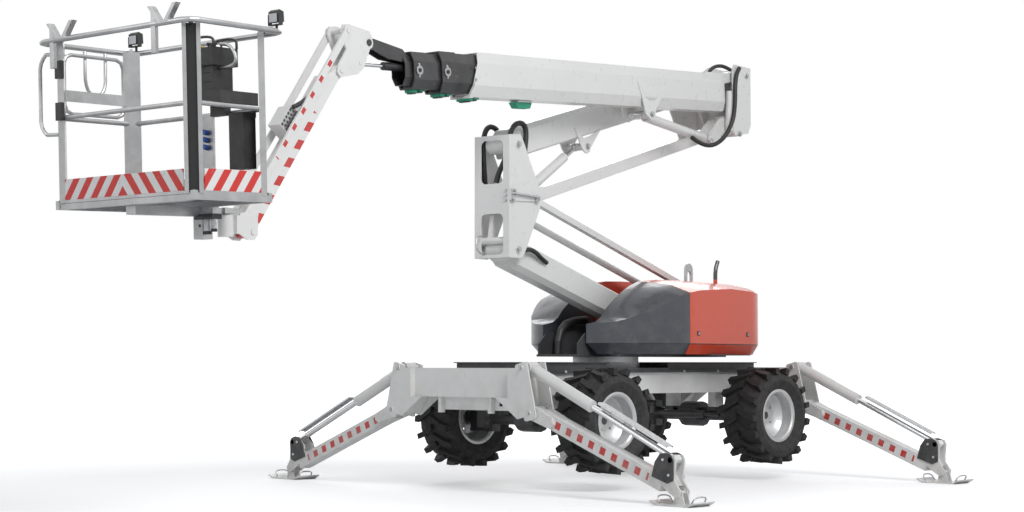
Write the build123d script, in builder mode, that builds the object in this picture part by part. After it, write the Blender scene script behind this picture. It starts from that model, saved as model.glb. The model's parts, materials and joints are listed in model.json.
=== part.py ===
from build123d import *
from math import atan2, cos, degrees, hypot, radians, sin
import os

os.makedirs("parts", exist_ok=True)

# Millimetres. +X is forward, towards the basket, +Y is the machine's left and +Z is up.
# The floor is Z = 0, under the four outrigger pads.

# Where the chassis centre lies along X, so that the whole machine is centred on the origin
chassis_x = -2109.0

# The upper works are slewed about a vertical axis over the chassis
slew_x = chassis_x + 128.0
slew_angle = 7.5
fore = Vector(cos(radians(slew_angle)), sin(radians(slew_angle)), 0)
across = Vector(-sin(radians(slew_angle)), cos(radians(slew_angle)), 0)
slew_centre = Vector(slew_x, 0, 0)

# Running clearances: pins in bores, and parts that pass one another
pin_play = 0.05


def spot(u, w, z):
    """Point u forward and w left of the slew axis, at height z."""
    return slew_centre + fore * u + across * w + Vector(0, 0, z)


def side(w):
    """Upright plane along the boom, w left of the slew axis, with local x forward and y up."""
    return Plane(origin=slew_centre + across * w, x_dir=fore, z_dir=across * -1)


def level(z):
    """Level plane at height z in the slewed frame."""
    return Plane(origin=slew_centre + Vector(0, 0, z), x_dir=fore, z_dir=(0, 0, 1))


def slab(points, w0, w1, corner=0.0, mode=Mode.ADD):
    """Plate cut to an outline in the boom's plane, from w0 to w1."""
    with BuildSketch(side(w1)) as outline:
        with BuildLine():
            Polyline(*points, close=True)
        make_face()
        if corner:
            fillet(outline.vertices(), corner)
    extrude(outline.sketch, amount=w1 - w0, mode=mode)


def pin(at, radius, w0, w1, mode=Mode.ADD):
    """Round pin, boss or hole across the boom."""
    with BuildSketch(side(w1)) as disc:
        with Locations(at):
            Circle(radius)
    extrude(disc.sketch, amount=w1 - w0, mode=mode)


def along(start, end, w):
    """Plane at start whose normal runs to end, with local x across the boom."""
    a, b = spot(start[0], w, start[1]), spot(end[0], w, end[1])
    return Plane(origin=a, x_dir=across, z_dir=(b - a).normalized())


def tube(start, end, w, radius, bore=0.0, mode=Mode.ADD):
    """Round bar between two points of the boom's plane."""
    length = hypot(end[0] - start[0], end[1] - start[1])
    with BuildSketch(along(start, end, w)) as ring:
        Circle(radius)
        if bore:
            Circle(bore, mode=Mode.SUBTRACT)
    extrude(ring.sketch, amount=length, mode=mode)


def beam(start, end, w, outline, inner=None, mode=Mode.ADD):
    """Bar of a given section between two points, hollow if an inner section is given."""
    length = hypot(end[0] - start[0], end[1] - start[1])
    with BuildSketch(along(start, end, w)) as section:
        with BuildLine():
            Polyline(*outline, close=True)
        make_face()
        if inner:
            with BuildLine():
                Polyline(*inner, close=True)
            make_face(mode=Mode.SUBTRACT)
    extrude(section.sketch, amount=length, mode=mode)


def box_outline(width, height, bottom_chamfer, top_chamfer):
    """Box section with cut corners; local y points to the lower side of a rearward beam."""
    half, tall = width / 2, height / 2
    low, top = bottom_chamfer, top_chamfer
    return [(half, -tall + top), (half, tall - low), (half - low, tall), (-half + low, tall),
            (-half, tall - low), (-half, -tall + top), (-half + top, -tall), (half - top, -tall)]


def creased_outline(width, height, waist, edge_width):
    """Boom section: widest at the waist, folded inwards towards the top and bottom."""
    half, tall, fold, edge = width / 2, height / 2, waist / 2, edge_width / 2
    return [(half, -fold), (half, fold), (edge, tall), (-edge, tall),
            (-half, fold), (-half, -fold), (-edge, -tall), (edge, -tall)]


def shift(point, vector, times=1.0):
    return (point[0] + vector[0] * times, point[1] + vector[1] * times)


def unit(start, end):
    length = hypot(end[0] - start[0], end[1] - start[1])
    return ((end[0] - start[0]) / length, (end[1] - start[1]) / length)


# Chassis

frame_half_width = 420.0
frame_bottom = 803.0
frame_top = 1003.0
frame_rear = -1750.0
frame_front = 1805.0
leg_front = 1888.0
leg_rear = -1834.0
beam_half_length = 660.0
beam_bottom = 790.0
beam_top = 1035.0
beam_thickness = 150.0
leg_gap_half = 100.0
cheek_thickness = 15.0
top_pin = (746.0, 1039.0)
bottom_pin = (836.0, 674.0)
outrigger_pin_radius = 22.0

axle_front = 1103.0
axle_rear = -1158.0
axle_height = 591.0
axle_radius = 60.0
kingpin_y = 680.0
yoke_reach = 45.0
kingpin_radius = 20.0
yoke_half_height = 110.0
yoke_plate = 25.0
spindle_radius = 35.0
spindle_end = 850.0

cover_top = 1085.0
ring_outer = 300.0
ring_inner = 250.0
ring_top = 1134.0


def cross(x, hand):
    """Upright plane across the machine, with local x outwards and y up."""
    return Plane(origin=(chassis_x + x, 0, 0), x_dir=(0, hand, 0), z_dir=(hand, 0, 0))


def cross_slab(points, x0, x1, hand, corner=0.0, mode=Mode.ADD):
    with BuildSketch(cross(x0 if hand > 0 else x1, hand)) as outline:
        with BuildLine():
            Polyline(*points, close=True)
        make_face()
        if corner:
            fillet(outline.vertices(), corner)
    extrude(outline.sketch, amount=x1 - x0, mode=mode)


def cross_pin(at, radius, x0, x1, hand, mode=Mode.ADD):
    with BuildSketch(cross(x0 if hand > 0 else x1, hand)) as disc:
        with Locations(at):
            Circle(radius)
    extrude(disc.sketch, amount=x1 - x0, mode=mode)


def cross_tube(start, end, x, hand, radius, bore=0.0, mode=Mode.ADD):
    a = Vector(chassis_x + x, hand * start[0], start[1])
    b = Vector(chassis_x + x, hand * end[0], end[1])
    with BuildSketch(Plane(origin=a, x_dir=(1, 0, 0), z_dir=(b - a).normalized())) as ring:
        Circle(radius)
        if bore:
            Circle(bore, mode=Mode.SUBTRACT)
    extrude(ring.sketch, amount=(b - a).length, mode=mode)


def block(x0, x1, y0, y1, z0, z1, mode=Mode.ADD):
    """Block by its limits, with x counted from the chassis centre."""
    with Locations((chassis_x + (x0 + x1) / 2, (y0 + y1) / 2, (z0 + z1) / 2)):
        Box(x1 - x0, y1 - y0, z1 - z0, mode=mode)


corners = [("front_left", leg_front, 1, 1), ("front_right", leg_front, 1, -1),
           ("rear_left", leg_rear, -1, 1), ("rear_right", leg_rear, -1, -1)]

pins_line = unit(bottom_pin, top_pin)
cheek_half = 68.0
cheek_over_top = 38.0
cheek_under_bottom = 60.0
cheek_outline = [
    shift(shift(top_pin, pins_line, cheek_over_top), (pins_line[1], -pins_line[0]), cheek_half),
    shift(shift(top_pin, pins_line, cheek_over_top), (pins_line[1], -pins_line[0]), -cheek_half),
    shift(shift(bottom_pin, pins_line, -cheek_under_bottom), (pins_line[1], -pins_line[0]), -cheek_half),
    shift(shift(bottom_pin, pins_line, -cheek_under_bottom), (pins_line[1], -pins_line[0]), cheek_half),
]

with BuildPart() as chassis_frame:
    block(frame_rear, frame_front, -frame_half_width, frame_half_width, frame_bottom, frame_top)
    for leg_x in (leg_front, leg_rear):
        middle = leg_x - 13 if leg_x > 0 else leg_x + 13
        block(middle - beam_thickness / 2, middle + beam_thickness / 2,
              -beam_half_length, beam_half_length, beam_bottom, beam_top)
        for hand in (1, -1):
            near, far = leg_x - leg_gap_half, leg_x + leg_gap_half
            for x0 in (near - cheek_thickness, far):
                cross_slab(cheek_outline, x0, x0 + cheek_thickness, hand, 25)
                cross_slab([(450, 790), (750, 790), (790, 640), (700, 620)], x0, x0 + cheek_thickness, hand)
            cross_slab([(590, beam_top), (688, beam_top), (740, 790), (745, 640), (700, 640), (590, 790)],
                       near - cheek_thickness, far + cheek_thickness, hand)
            for at in (top_pin, bottom_pin):
                cross_pin(at, outrigger_pin_radius, near - cheek_thickness - 12, far + cheek_thickness + 12, hand)
    # Columns down to the axles
    for axle_x in (axle_front, axle_rear):
        for y in (-260, 260):
            block(axle_x - 60, axle_x + 60, y - 45, y + 45, axle_height + 70, frame_bottom)
    # Round pedestal under the slewing ring
    with Locations((slew_x, 0, (frame_top + cover_top) / 2)):
        Cylinder(ring_outer + 10, cover_top - frame_top)
    # Step plate and two posts under the front beam
    block(leg_front - 30, leg_front - 18, -330, 530, 680, 775)
    block(leg_front - 30, leg_front - 10, -330, 530, 765, 792)
    block(leg_front - 30, leg_front - 18, 360, 500, 716, 750, mode=Mode.SUBTRACT)
    for y in (-315, 290):
        block(leg_front - 20, leg_front + 25, y - 20, y + 20, 655, 795)
chassis_frame.part.label = "chassis_frame"
export_step(chassis_frame.part, "parts/chassis_frame.step")

with BuildPart() as chassis_covers:
    for x0, x1 in ((-1650, -230), (490, 1700)):
        block(x0, x1, -450, 450, frame_top, frame_top + 8)
        block(x0 + 60, x1 - 60, -390, 390, frame_top + 8, cover_top - 8)
        block(x0 + 40, x1 - 40, -410, 410, cover_top - 8, cover_top)
    for hand in (1, -1):
        block(-230, 490, hand * 400 - 50, hand * 400 + 50, frame_top, frame_top + 30)
        block(-1650, 1700, hand * 440 - 12, hand * 440 + 12, frame_top - 12, frame_top + 8)
    with Locations((slew_x, 0, 1044)):
        Cylinder(ring_outer + 16, 100, mode=Mode.SUBTRACT)
    block(frame_rear, frame_front, -420, 420, frame_top - 30, frame_top, mode=Mode.SUBTRACT)
chassis_covers.part.label = "chassis_covers"
export_step(chassis_covers.part, "parts/chassis_covers.step")

yoke_end = kingpin_y + yoke_reach

with BuildPart() as axles:
    for axle_x in (axle_front, axle_rear):
        with BuildSketch(Plane(origin=(chassis_x + axle_x, -470, axle_height), x_dir=(1, 0, 0), z_dir=(0, 1, 0))):
            Circle(axle_radius)
        extrude(amount=940)
        with BuildSketch(Plane(origin=(chassis_x + axle_x, -110, axle_height), x_dir=(1, 0, 0), z_dir=(0, 1, 0))):
            RegularPolygon(118, 12)
        extrude(amount=220)
        for y in (-260, 260):
            block(axle_x - 70, axle_x + 70, y - 50, y + 50, axle_height + 30, axle_height + 69.5)
        for hand in (1, -1):
            for z in (-yoke_half_height, yoke_half_height):
                block(axle_x - 50, axle_x + 50, min(hand * 440, hand * yoke_end), max(hand * 440, hand * yoke_end),
                      axle_height + z - yoke_plate / 2, axle_height + z + yoke_plate / 2)
            block(axle_x - 50, axle_x + 50, min(hand * 440, hand * 475), max(hand * 440, hand * 475),
                  axle_height - yoke_half_height, axle_height + yoke_half_height)
            with Locations((chassis_x + axle_x, hand * kingpin_y, axle_height)):
                Cylinder(kingpin_radius, 2 * yoke_half_height + yoke_plate + 20)
        # Steering cylinder across the axle, on the side towards the machine's middle
        ram_x = axle_x - 150 if axle_x > 0 else axle_x + 150
        with BuildSketch(Plane(origin=(chassis_x + ram_x, -240, axle_height), x_dir=(1, 0, 0), z_dir=(0, 1, 0))):
            Circle(38)
        extrude(amount=480)
        with BuildSketch(Plane(origin=(chassis_x + ram_x, -420, axle_height), x_dir=(1, 0, 0), z_dir=(0, 1, 0))):
            Circle(16)
        extrude(amount=840)
        for y in (-180, 180):
            block(min(ram_x, axle_x), max(ram_x, axle_x), y - 15, y + 15, axle_height - 30, axle_height + 30)
axles.part.label = "axles"
export_step(axles.part, "parts/axles.step")

with BuildPart() as slew_ring:
    with Locations((slew_x, 0, (cover_top + ring_top) / 2)):
        Cylinder(ring_outer, ring_top - cover_top)
        Cylinder(ring_inner, ring_top - cover_top, mode=Mode.SUBTRACT)
slew_ring.part.label = "slew_ring"
export_step(slew_ring.part, "parts/slew_ring.step")

# Steering knuckles and wheels

tyre_radius = 440.5
tyre_half_width = 200.0
carcass_radius = 414.0
bead_radius = 225.0
lug_count = 17
lug_width = 52.0
lug_root = 384.0
wheel_y = 836.0
rim_lip_radius = 245.0
rim_seat_radius = 222.0
rim_half_width = 165.0
hub_radius = 75.0
hub_inner = 45.0

# The wheel is drawn about the origin, with its axle along Y and its outer side towards +Y
wheel_section = Plane(origin=(0, 0, 0), x_dir=(0, 1, 0), z_dir=(-1, 0, 0))
wheel_disc = Plane(origin=(0, 0, 0), x_dir=(1, 0, 0), z_dir=(0, 1, 0))
wheel_axis = Axis((0, 0, 0), (0, 1, 0))


def faceted_ring(profile, count):
    """Ring of flat facets about the wheel's axle, from a section given as (along the axle, radius)."""
    step = 180 / count
    with BuildSketch(wheel_section) as cut:
        with BuildLine():
            Polyline(*profile, close=True)
        make_face()
    sector = loft([cut.sketch.rotate(wheel_axis, -step), cut.sketch.rotate(wheel_axis, step)], ruled=True)
    with BuildPart(mode=Mode.PRIVATE) as ring:
        with Locations(wheel_disc):
            with PolarLocations(0, count):
                add(sector.moved(wheel_disc.location.inverse()))
    return ring.part


with BuildPart() as rim_shape:
    add(faceted_ring([(-rim_half_width, rim_lip_radius), (-rim_half_width + 10, rim_seat_radius - 1),
                      (rim_half_width - 10, rim_seat_radius - 1), (rim_half_width, rim_lip_radius),
                      (rim_half_width, rim_lip_radius - 22), (rim_half_width - 12, rim_seat_radius - 14),
                      (50, rim_seat_radius - 14), (10, 165), (-5, 140), (-5, hub_radius), (14, hub_radius),
                      (14, 30), (-hub_inner, 30), (-hub_inner, hub_radius), (-17, hub_radius), (-17, 150),
                      (30, rim_seat_radius - 14), (-rim_half_width + 12, rim_seat_radius - 14),
                      (-rim_half_width, rim_lip_radius - 22)], 36))
    with BuildSketch(wheel_disc.offset(-30)):
        with PolarLocations(112, 5):
            Circle(11)
    extrude(amount=60, mode=Mode.SUBTRACT)
    with BuildSketch(wheel_disc.offset(-hub_inner - 10)):
        Circle(spindle_radius + pin_play)
    extrude(amount=hub_inner + 60, mode=Mode.SUBTRACT)

# One lug: a kinked bar from the shoulder to past the middle of the tread
lug_line = [(197, -56), (120, -34), (-4, 34)]
half_lug = lug_width / 2

with BuildPart() as lug_shape:
    with BuildSketch(Plane(origin=(0, 0, lug_root), x_dir=(0, 1, 0), z_dir=(0, 0, 1))):
        with BuildLine():
            Polyline(*[(y, t + half_lug) for y, t in lug_line], *[(y, t - half_lug) for y, t in lug_line[::-1]],
                     close=True)
        make_face()
    extrude(amount=tyre_radius - lug_root)

with BuildPart() as tyre_shape:
    add(faceted_ring([(-150, bead_radius), (-tyre_half_width, 330), (-188, 386), (-90, carcass_radius),
                      (90, carcass_radius), (188, 386), (tyre_half_width, 330), (150, bead_radius)], lug_count))
    with Locations(wheel_disc):
        with PolarLocations(0, lug_count):
            add(lug_shape.part.moved(Location(wheel_disc.location.inverse())))
    other_side = lug_shape.part.mirror(Plane.XZ)
    with Locations(wheel_disc):
        with PolarLocations(0, lug_count, start_angle=180 / lug_count):
            add(other_side.moved(Location(wheel_disc.location.inverse())))

for name, leg_x, end, hand in corners:
    axle_x = axle_front if end > 0 else axle_rear
    out = Plane(origin=(chassis_x + axle_x, 0, axle_height), x_dir=(1, 0, 0), z_dir=(0, hand, 0))

    with BuildPart() as steering_knuckle:
        block(axle_x - 48, axle_x + 48, hand * kingpin_y - 42, hand * kingpin_y + 42,
              axle_height - yoke_half_height + yoke_plate / 2 + 1, axle_height + yoke_half_height - yoke_plate / 2 - 1)
        with Locations((chassis_x + axle_x, hand * kingpin_y, axle_height)):
            Cylinder(kingpin_radius + pin_play, 2 * yoke_half_height, mode=Mode.SUBTRACT)
        with BuildSketch(out.offset(kingpin_y + 40)):
            Circle(spindle_radius + 30)
        extrude(amount=60)
        with BuildSketch(out.offset(kingpin_y + 100)):
            Circle(spindle_radius)
        extrude(amount=spindle_end - kingpin_y - 100)
        # Steering arm
        arm = -1 if end > 0 else 1
        block(min(axle_x, axle_x + arm * 170), max(axle_x, axle_x + arm * 170),
              hand * (kingpin_y - 20) - 18, hand * (kingpin_y - 20) + 18, axle_height - 60, axle_height - 40)
        with Locations((chassis_x + axle_x, hand * kingpin_y, axle_height)):
            Cylinder(kingpin_radius + pin_play, 2 * yoke_half_height, mode=Mode.SUBTRACT)
    steering_knuckle.part.label = f"steering_knuckle_{name}"
    export_step(steering_knuckle.part, f"parts/steering_knuckle_{name}.step")

    wheel_place = Location((chassis_x + axle_x, hand * wheel_y, axle_height))
    with BuildPart() as rim:
        add((rim_shape.part if hand > 0 else rim_shape.part.mirror(Plane.XZ)).moved(wheel_place))
    rim.part.label = f"rim_{name}"
    export_step(rim.part, f"parts/rim_{name}.step")

    with BuildPart() as tyre:
        add((tyre_shape.part if hand > 0 else tyre_shape.part.mirror(Plane.XZ)).moved(wheel_place))
    tyre.part.label = f"tyre_{name}"
    export_step(tyre.part, f"parts/tyre_{name}.step")

# Outriggers

leg_height = 115.0
leg_width = 118.0
pad_pin = (2329.0, 100.0)
eye_pin = (2270.0, 345.0)
leg_line = unit(bottom_pin, pad_pin)
barrel_radius = 50.0
barrel_length = 740.0
rod_radius = 25.0
cylinder_line = unit(top_pin, eye_pin)
cylinder_length = hypot(eye_pin[0] - top_pin[0], eye_pin[1] - top_pin[1])
rod_start = 645.0
pad_length = 430.0
pad_width = 260.0

for name, leg_x, end, hand in corners:
    with BuildPart() as outrigger_leg:
        leg_start = shift(bottom_pin, leg_line, 70)
        leg_end = shift(bottom_pin, leg_line, 1440)
        normal = (-leg_line[1], leg_line[0])
        half = leg_height / 2
        cross_slab([shift(leg_start, normal, half), shift(leg_end, normal, half),
                    shift(leg_end, normal, -half), shift(leg_start, normal, -half)],
                   leg_x - leg_width / 2, leg_x + leg_width / 2, hand)
        for x0, x1 in ((-leg_gap_half + 6, -leg_width / 2 + 10), (leg_width / 2 - 10, leg_gap_half - 6)):
            cross_pin(bottom_pin, 58, leg_x + x0, leg_x + x1, hand)
            cross_slab([shift(shift(bottom_pin, leg_line, 0), normal, 58), shift(shift(bottom_pin, leg_line, 230), normal, 45),
                        shift(shift(bottom_pin, leg_line, 260), normal, 0), shift(shift(bottom_pin, leg_line, 230), normal, -45),
                        shift(shift(bottom_pin, leg_line, 0), normal, -58)], leg_x + x0, leg_x + x1, hand)
        cross_pin(bottom_pin, 50, leg_x - leg_width / 2, leg_x + leg_width / 2, hand)
        cross_pin(bottom_pin, outrigger_pin_radius + pin_play, leg_x - 120, leg_x + 120, hand, mode=Mode.SUBTRACT)
        # End fork: cylinder pin above, pad pin below
        for x0 in (leg_x - 59, leg_x + 44):
            cross_slab([(2120, 200), (2110, 320), (2190, 382), (2300, 382), (2320, 345), (2300, 200),
                        (2362, 110), (2350, 68), (2300, 68), (2230, 110)], x0, x0 + 15, hand)
        cross_slab([(2120, 200), (2118, 262), (2215, 262), (2265, 200), (2300, 150), (2230, 112)],
                   leg_x - 45, leg_x + 45, hand)
        for x0 in (leg_x - 68, leg_x + 43):
            cross_pin(eye_pin, outrigger_pin_radius, x0, x0 + 25, hand)
        # Pad and its two ears, on the pad pin
        cross_slab([(pad_pin[0] - pad_length / 2, 30), (pad_pin[0] - pad_length / 2 + 60, 0),
                    (pad_pin[0] + pad_length / 2 - 60, 0), (pad_pin[0] + pad_length / 2, 30),
                    (pad_pin[0] + pad_length / 2 - 2, 40), (pad_pin[0] + pad_length / 2 - 64, 12),
                    (pad_pin[0] - pad_length / 2 + 64, 12), (pad_pin[0] - pad_length / 2 + 2, 40)],
                   leg_x - pad_width / 2, leg_x + pad_width / 2, hand)
        for x0 in (leg_x - 38, leg_x + 26):
            cross_slab([(pad_pin[0] - 55, 10), (pad_pin[0] - 28, 112), (pad_pin[0], 130), (pad_pin[0] + 28, 112),
                        (pad_pin[0] + 55, 10)], x0, x0 + 12, hand)
        cross_pin(pad_pin, 16, leg_x - 62, leg_x + 62, hand)
    outrigger_leg.part.label = f"outrigger_leg_{name}"
    export_step(outrigger_leg.part, f"parts/outrigger_leg_{name}.step")

    with BuildPart() as outrigger_barrel:
        start = shift(top_pin, cylinder_line, 45)
        cross_tube(start, shift(top_pin, cylinder_line, barrel_length), leg_x, hand, barrel_radius)
        cross_pin(top_pin, 48, leg_x - 55, leg_x + 55, hand)
        cross_tube(top_pin, start, leg_x, hand, 42)
        cross_pin(top_pin, outrigger_pin_radius + pin_play, leg_x - 90, leg_x + 90, hand, mode=Mode.SUBTRACT)
        cross_tube(shift(top_pin, cylinder_line, 80), shift(top_pin, cylinder_line, barrel_length + 10),
                   leg_x, hand, rod_radius + pin_play, mode=Mode.SUBTRACT)
    outrigger_barrel.part.label = f"outrigger_barrel_{name}"
    export_step(outrigger_barrel.part, f"parts/outrigger_barrel_{name}.step")

    with BuildPart() as outrigger_rod:
        cross_tube(shift(top_pin, cylinder_line, rod_start),
                   shift(top_pin, cylinder_line, cylinder_length - 30), leg_x, hand, rod_radius)
        cross_pin(eye_pin, 36, leg_x - 40, leg_x + 40, hand)
        cross_pin(eye_pin, outrigger_pin_radius, leg_x - 42, leg_x + 42, hand)
    outrigger_rod.part.label = f"outrigger_rod_{name}"
    export_step(outrigger_rod.part, f"parts/outrigger_rod_{name}.step")

# Turret

turret_floor = 1135.0
turret_plate = 20.0
cheek_inner = 205.0
turret_cheek = 15.0
lower_rear = (-1381.0, 1228.0)
arm_vector = (2972.0, 807.0)
lower_front = shift(lower_rear, arm_vector)
lower_tie_rear = (-1651.0, 1674.0)
knuckle_middle = shift(lower_tie_rear, arm_vector)
tube_drop = 98.0
arm_pin_radius = 30.0
tie_pin_radius = 22.0

with BuildPart() as turret_frame:
    with Locations(spot(0, 0, (1100 + turret_floor) / 2)):
        Cylinder(ring_inner - pin_play, turret_floor - 1100)
        Cylinder(150, turret_floor - 1100, mode=Mode.SUBTRACT)
    slab([(-540, turret_floor), (470, turret_floor), (470, turret_floor + turret_plate),
          (-540, turret_floor + turret_plate)], -440, 440)
    # Groove in the deck that the lower arm sinks into when it is folded down
    slab([(-541, turret_floor + 8), (-350, turret_floor + 8), (-350, turret_floor + 21), (-541, turret_floor + 21)],
         -75, 75, mode=Mode.SUBTRACT)
    slab([(470, turret_floor), (750, turret_floor), (750, turret_floor + turret_plate),
          (470, turret_floor + turret_plate)], -cheek_inner - turret_cheek, cheek_inner + turret_cheek)
    cheek = [(-1790, turret_floor), (-1790, 1700), (-1690, 1740), (-1590, 1730), (-1250, 1400), (200, 1370),
             (640, 1340), (750, 1250), (750, turret_floor)]
    slab(cheek, cheek_inner, cheek_inner + turret_cheek)
    slab(cheek, -cheek_inner - turret_cheek, -cheek_inner)
    slab([(-1790, turret_floor), (-1790, 1700), (-1778, 1700), (-1778, turret_floor)], -cheek_inner - 5, cheek_inner + 5)
    # Floor under the hood, out to its walls
    for w0, w1 in ((cheek_inner, 792), (-792, -cheek_inner)):
        slab([(-1270, 1147), (-540, 1147), (-540, 1155), (-1270, 1155)],
             w0, w1)
    pin(lower_rear, arm_pin_radius, -cheek_inner - 25, cheek_inner + 25)
    pin(lower_tie_rear, tie_pin_radius, 95, cheek_inner + 25)
    pin(shift(lower_tie_rear, (0, -tube_drop)), tie_pin_radius, -cheek_inner - 25, -50)
    # Lifting eye on the left cheek
    with BuildSketch(side(cheek_inner + turret_cheek)) as eye:
        with Locations((-1110, 1865)):
            SlotCenterToCenter(200, 130, rotation=90)
            SlotCenterToCenter(110, 70, rotation=90, mode=Mode.SUBTRACT)
    extrude(eye.sketch, amount=20)
    slab([(-1250, 1390), (-1175, 1825), (-1045, 1825), (-1000, 1380)], cheek_inner, cheek_inner + turret_cheek)
turret_frame.part.label = "turret_frame"
export_step(turret_frame.part, "parts/turret_frame.step")

# Covers: grey sides that sweep in towards the arm, and a red hood behind, in two halves
cover_half_width = 800.0
cover_slot = 235.0
cover_bottom = 1155.0
cover_seam = 1250.0
cover_top_z = 1850.0
cover_wall = 8.0
cover_front = 650.0
cover_joint = -180.0
hood_rear = -1750.0
hood_corner = 470.0
skirt_inset = 55.0

# Along the boom: height of the crease on the side, height at the slot
roof_stations = [(760, 1402, 1406), (650, 1416, 1420), (560, 1424, 1434), (500, 1424, 1446), (420, 1420, 1490),
                 (350, 1400, 1560), (250, 1440, 1632), (150, 1532, 1690), (50, 1604, 1742), (-50, 1662, 1785),
                 (-180, 1708, 1825), (-350, 1735, 1846), (-600, 1750, 1854), (-900, 1765, 1854),
                 (-1300, 1750, 1854), (-1560, 1700, 1852), (-1700, 1640, 1850), (-1800, 1600, 1848)]


def cover_outline(grow):
    """Plan of the left cover, from its nose round to the slot; grow is negative inwards."""
    w = cover_half_width + grow
    inside = cover_slot - min(grow, 0)
    rear = hood_rear - grow
    radius = hood_corner + grow
    nose = [(cover_front + grow * 1.6, inside), (500 + grow * 1.4, 460 + grow * 0.6),
            (250 + grow, 650 + grow), (-50, 772 + grow), (-300, w)]
    Spline(*nose, tangents=[(-0.35, 1.0), (-1, 0)])
    Line((-300, w), (rear + radius, w))
    RadiusArc((rear + radius, w), (rear, w - radius), -radius)
    Polyline((rear, w - radius), (rear, inside), nose[0])


def cover_block(grow, z0, z1):
    with BuildSketch(level(z0)) as plan:
        with BuildLine():
            cover_outline(grow)
        make_face()
    return extrude(plan.sketch, amount=z1 - z0)


def skirt_block(grow):
    """Part below the seam, which slopes inwards to the bottom."""
    with BuildSketch(level(cover_seam)) as top:
        with BuildLine():
            cover_outline(grow)
        make_face()
    with BuildSketch(level(cover_bottom)) as foot:
        with BuildLine():
            cover_outline(grow - skirt_inset)
        make_face()
    return loft([foot.sketch, top.sketch])


def roof(drop):
    """Everything under the covers' tops: a crease on the outside, then a rounded rise to the slot."""
    with BuildPart(mode=Mode.PRIVATE) as under:
        for u, crease, top in roof_stations:
            bulge = 0.35 * (top - crease)
            across_boom = Plane(origin=spot(u, 0, 0), x_dir=across, z_dir=fore)
            with BuildSketch(across_boom):
                with BuildLine():
                    Polyline((1000, crease - drop - 0.35 * (top - crease)), (1000, 900), (150, 900), (150, top - drop))
                    Line((150, top - drop), (330, top - drop - 0.04 * (top - crease)))
                    Line((330, top - drop - 0.04 * (top - crease)), (600, crease - drop + 0.62 * (top - crease)))
                    Line((600, crease - drop + 0.62 * (top - crease)), (800, crease - drop))
                    Line((800, crease - drop), (1000, crease - drop - 0.35 * (top - crease)))
                make_face()
        loft(ruled=True)
    return under.part


def band(u0, u1):
    with BuildPart(mode=Mode.PRIVATE) as cut:
        slab([(u0, 1000), (u1, 1000), (u1, 2000), (u0, 2000)], -900, 900)
    return cut.part


outer = cover_block(0, cover_seam, cover_top_z + 100) & roof(0)
inner = cover_block(-cover_wall, cover_seam - 1, cover_top_z + 100) & roof(cover_wall)
skirt = skirt_block(0) - skirt_block(-cover_wall)
left_shell = (outer - inner) + skirt
shells = [left_shell, left_shell.mirror(side(0))]

with BuildPart() as side_covers:
    for skin in shells:
        add(skin & band(cover_joint + 2, 900))
side_covers.part.label = "side_covers"
export_step(side_covers.part, "parts/side_covers.step")

exhaust_w = 446.0

with BuildPart() as rear_hood:
    for skin in shells:
        add(skin & band(-1900, cover_joint - 2))
    # Curved exhaust pipe through the top
    with BuildLine() as route:
        Polyline(spot(-1215, exhaust_w, 1790), spot(-1215, exhaust_w, 1930), spot(-1228, exhaust_w, 1990),
                 spot(-1262, exhaust_w, 2050))
    with BuildSketch(Plane(origin=route.line @ 0, z_dir=route.line % 0)):
        RegularPolygon(20, 12)
    sweep(path=route.line, transition=Transition.RIGHT)
rear_hood.part.label = "rear_hood"
export_step(rear_hood.part, "parts/rear_hood.step")

with BuildPart() as engine:
    slab([(-1450, 1155), (-700, 1155), (-700, 1700), (-1450, 1700)], 305, 690)
engine.part.label = "engine"
export_step(engine.part, "parts/engine.step")

with BuildPart() as conduit:
    with BuildLine() as route:
        Polyline(spot(540, -155, 1158), spot(532, -155, 1270), spot(490, -155, 1370), spot(410, -155, 1430),
                 spot(280, -155, 1460), spot(100, -155, 1475))
    with BuildSketch(Plane(origin=route.line @ 0, z_dir=route.line % 0)):
        RegularPolygon(36, 16)
    sweep(path=route.line, transition=Transition.RIGHT)
conduit.part.label = "conduit"
export_step(conduit.part, "parts/conduit.step")

# Lower arm, its tie bars and the knuckle frame

arm_width = 200.0
arm_height = 250.0
arm_line = unit(lower_rear, lower_front)
arm_length = hypot(*arm_vector)
arm_chamfer = 42.0
arm_wall = 8.0


def arm_section(grow=0.0, flip=False):
    outline = box_outline(arm_width + 2 * grow, arm_height + 2 * grow, arm_chamfer + grow * 0.8, 14 + grow * 0.8)
    return [(x, -y) for x, y in outline] if flip else outline


def boxed(start, end, w, outline, inner, wall):
    """Closed box beam: outer bar less a cavity that stops a wall short of both ends."""
    line = unit(start, end)
    beam(start, end, w, outline)
    beam(shift(start, line, wall), shift(end, line, -wall), w, inner, mode=Mode.SUBTRACT)


with BuildPart() as lower_arm:
    boxed(shift(lower_rear, arm_line, 120), shift(lower_front, arm_line, -48), 0,
          arm_section(0, True), arm_section(-arm_wall, True), arm_wall)
    for at, sign in ((lower_rear, 1), (lower_front, -1)):
        pin(at, 75, -arm_width / 2, arm_width / 2)
        near = shift(at, arm_line, sign * 150)
        normal = (-arm_line[1], arm_line[0])
        slab([shift(at, normal, 75), shift(near, normal, 100), shift(near, normal, -100), shift(at, normal, -75)],
             -arm_width / 2 + 1, arm_width / 2 - 1)
        pin(at, arm_pin_radius + pin_play, -arm_width, arm_width, mode=Mode.SUBTRACT)
lower_arm.part.label = "lower_arm"
export_step(lower_arm.part, "parts/lower_arm.step")

tie_width = 55.0
lower_tie_w = 135.0
lower_tube_w = -90.0
lower_tube_rear = shift(lower_tie_rear, (0, -tube_drop))
lower_tube_front = shift(knuckle_middle, (0, -tube_drop))

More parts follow.
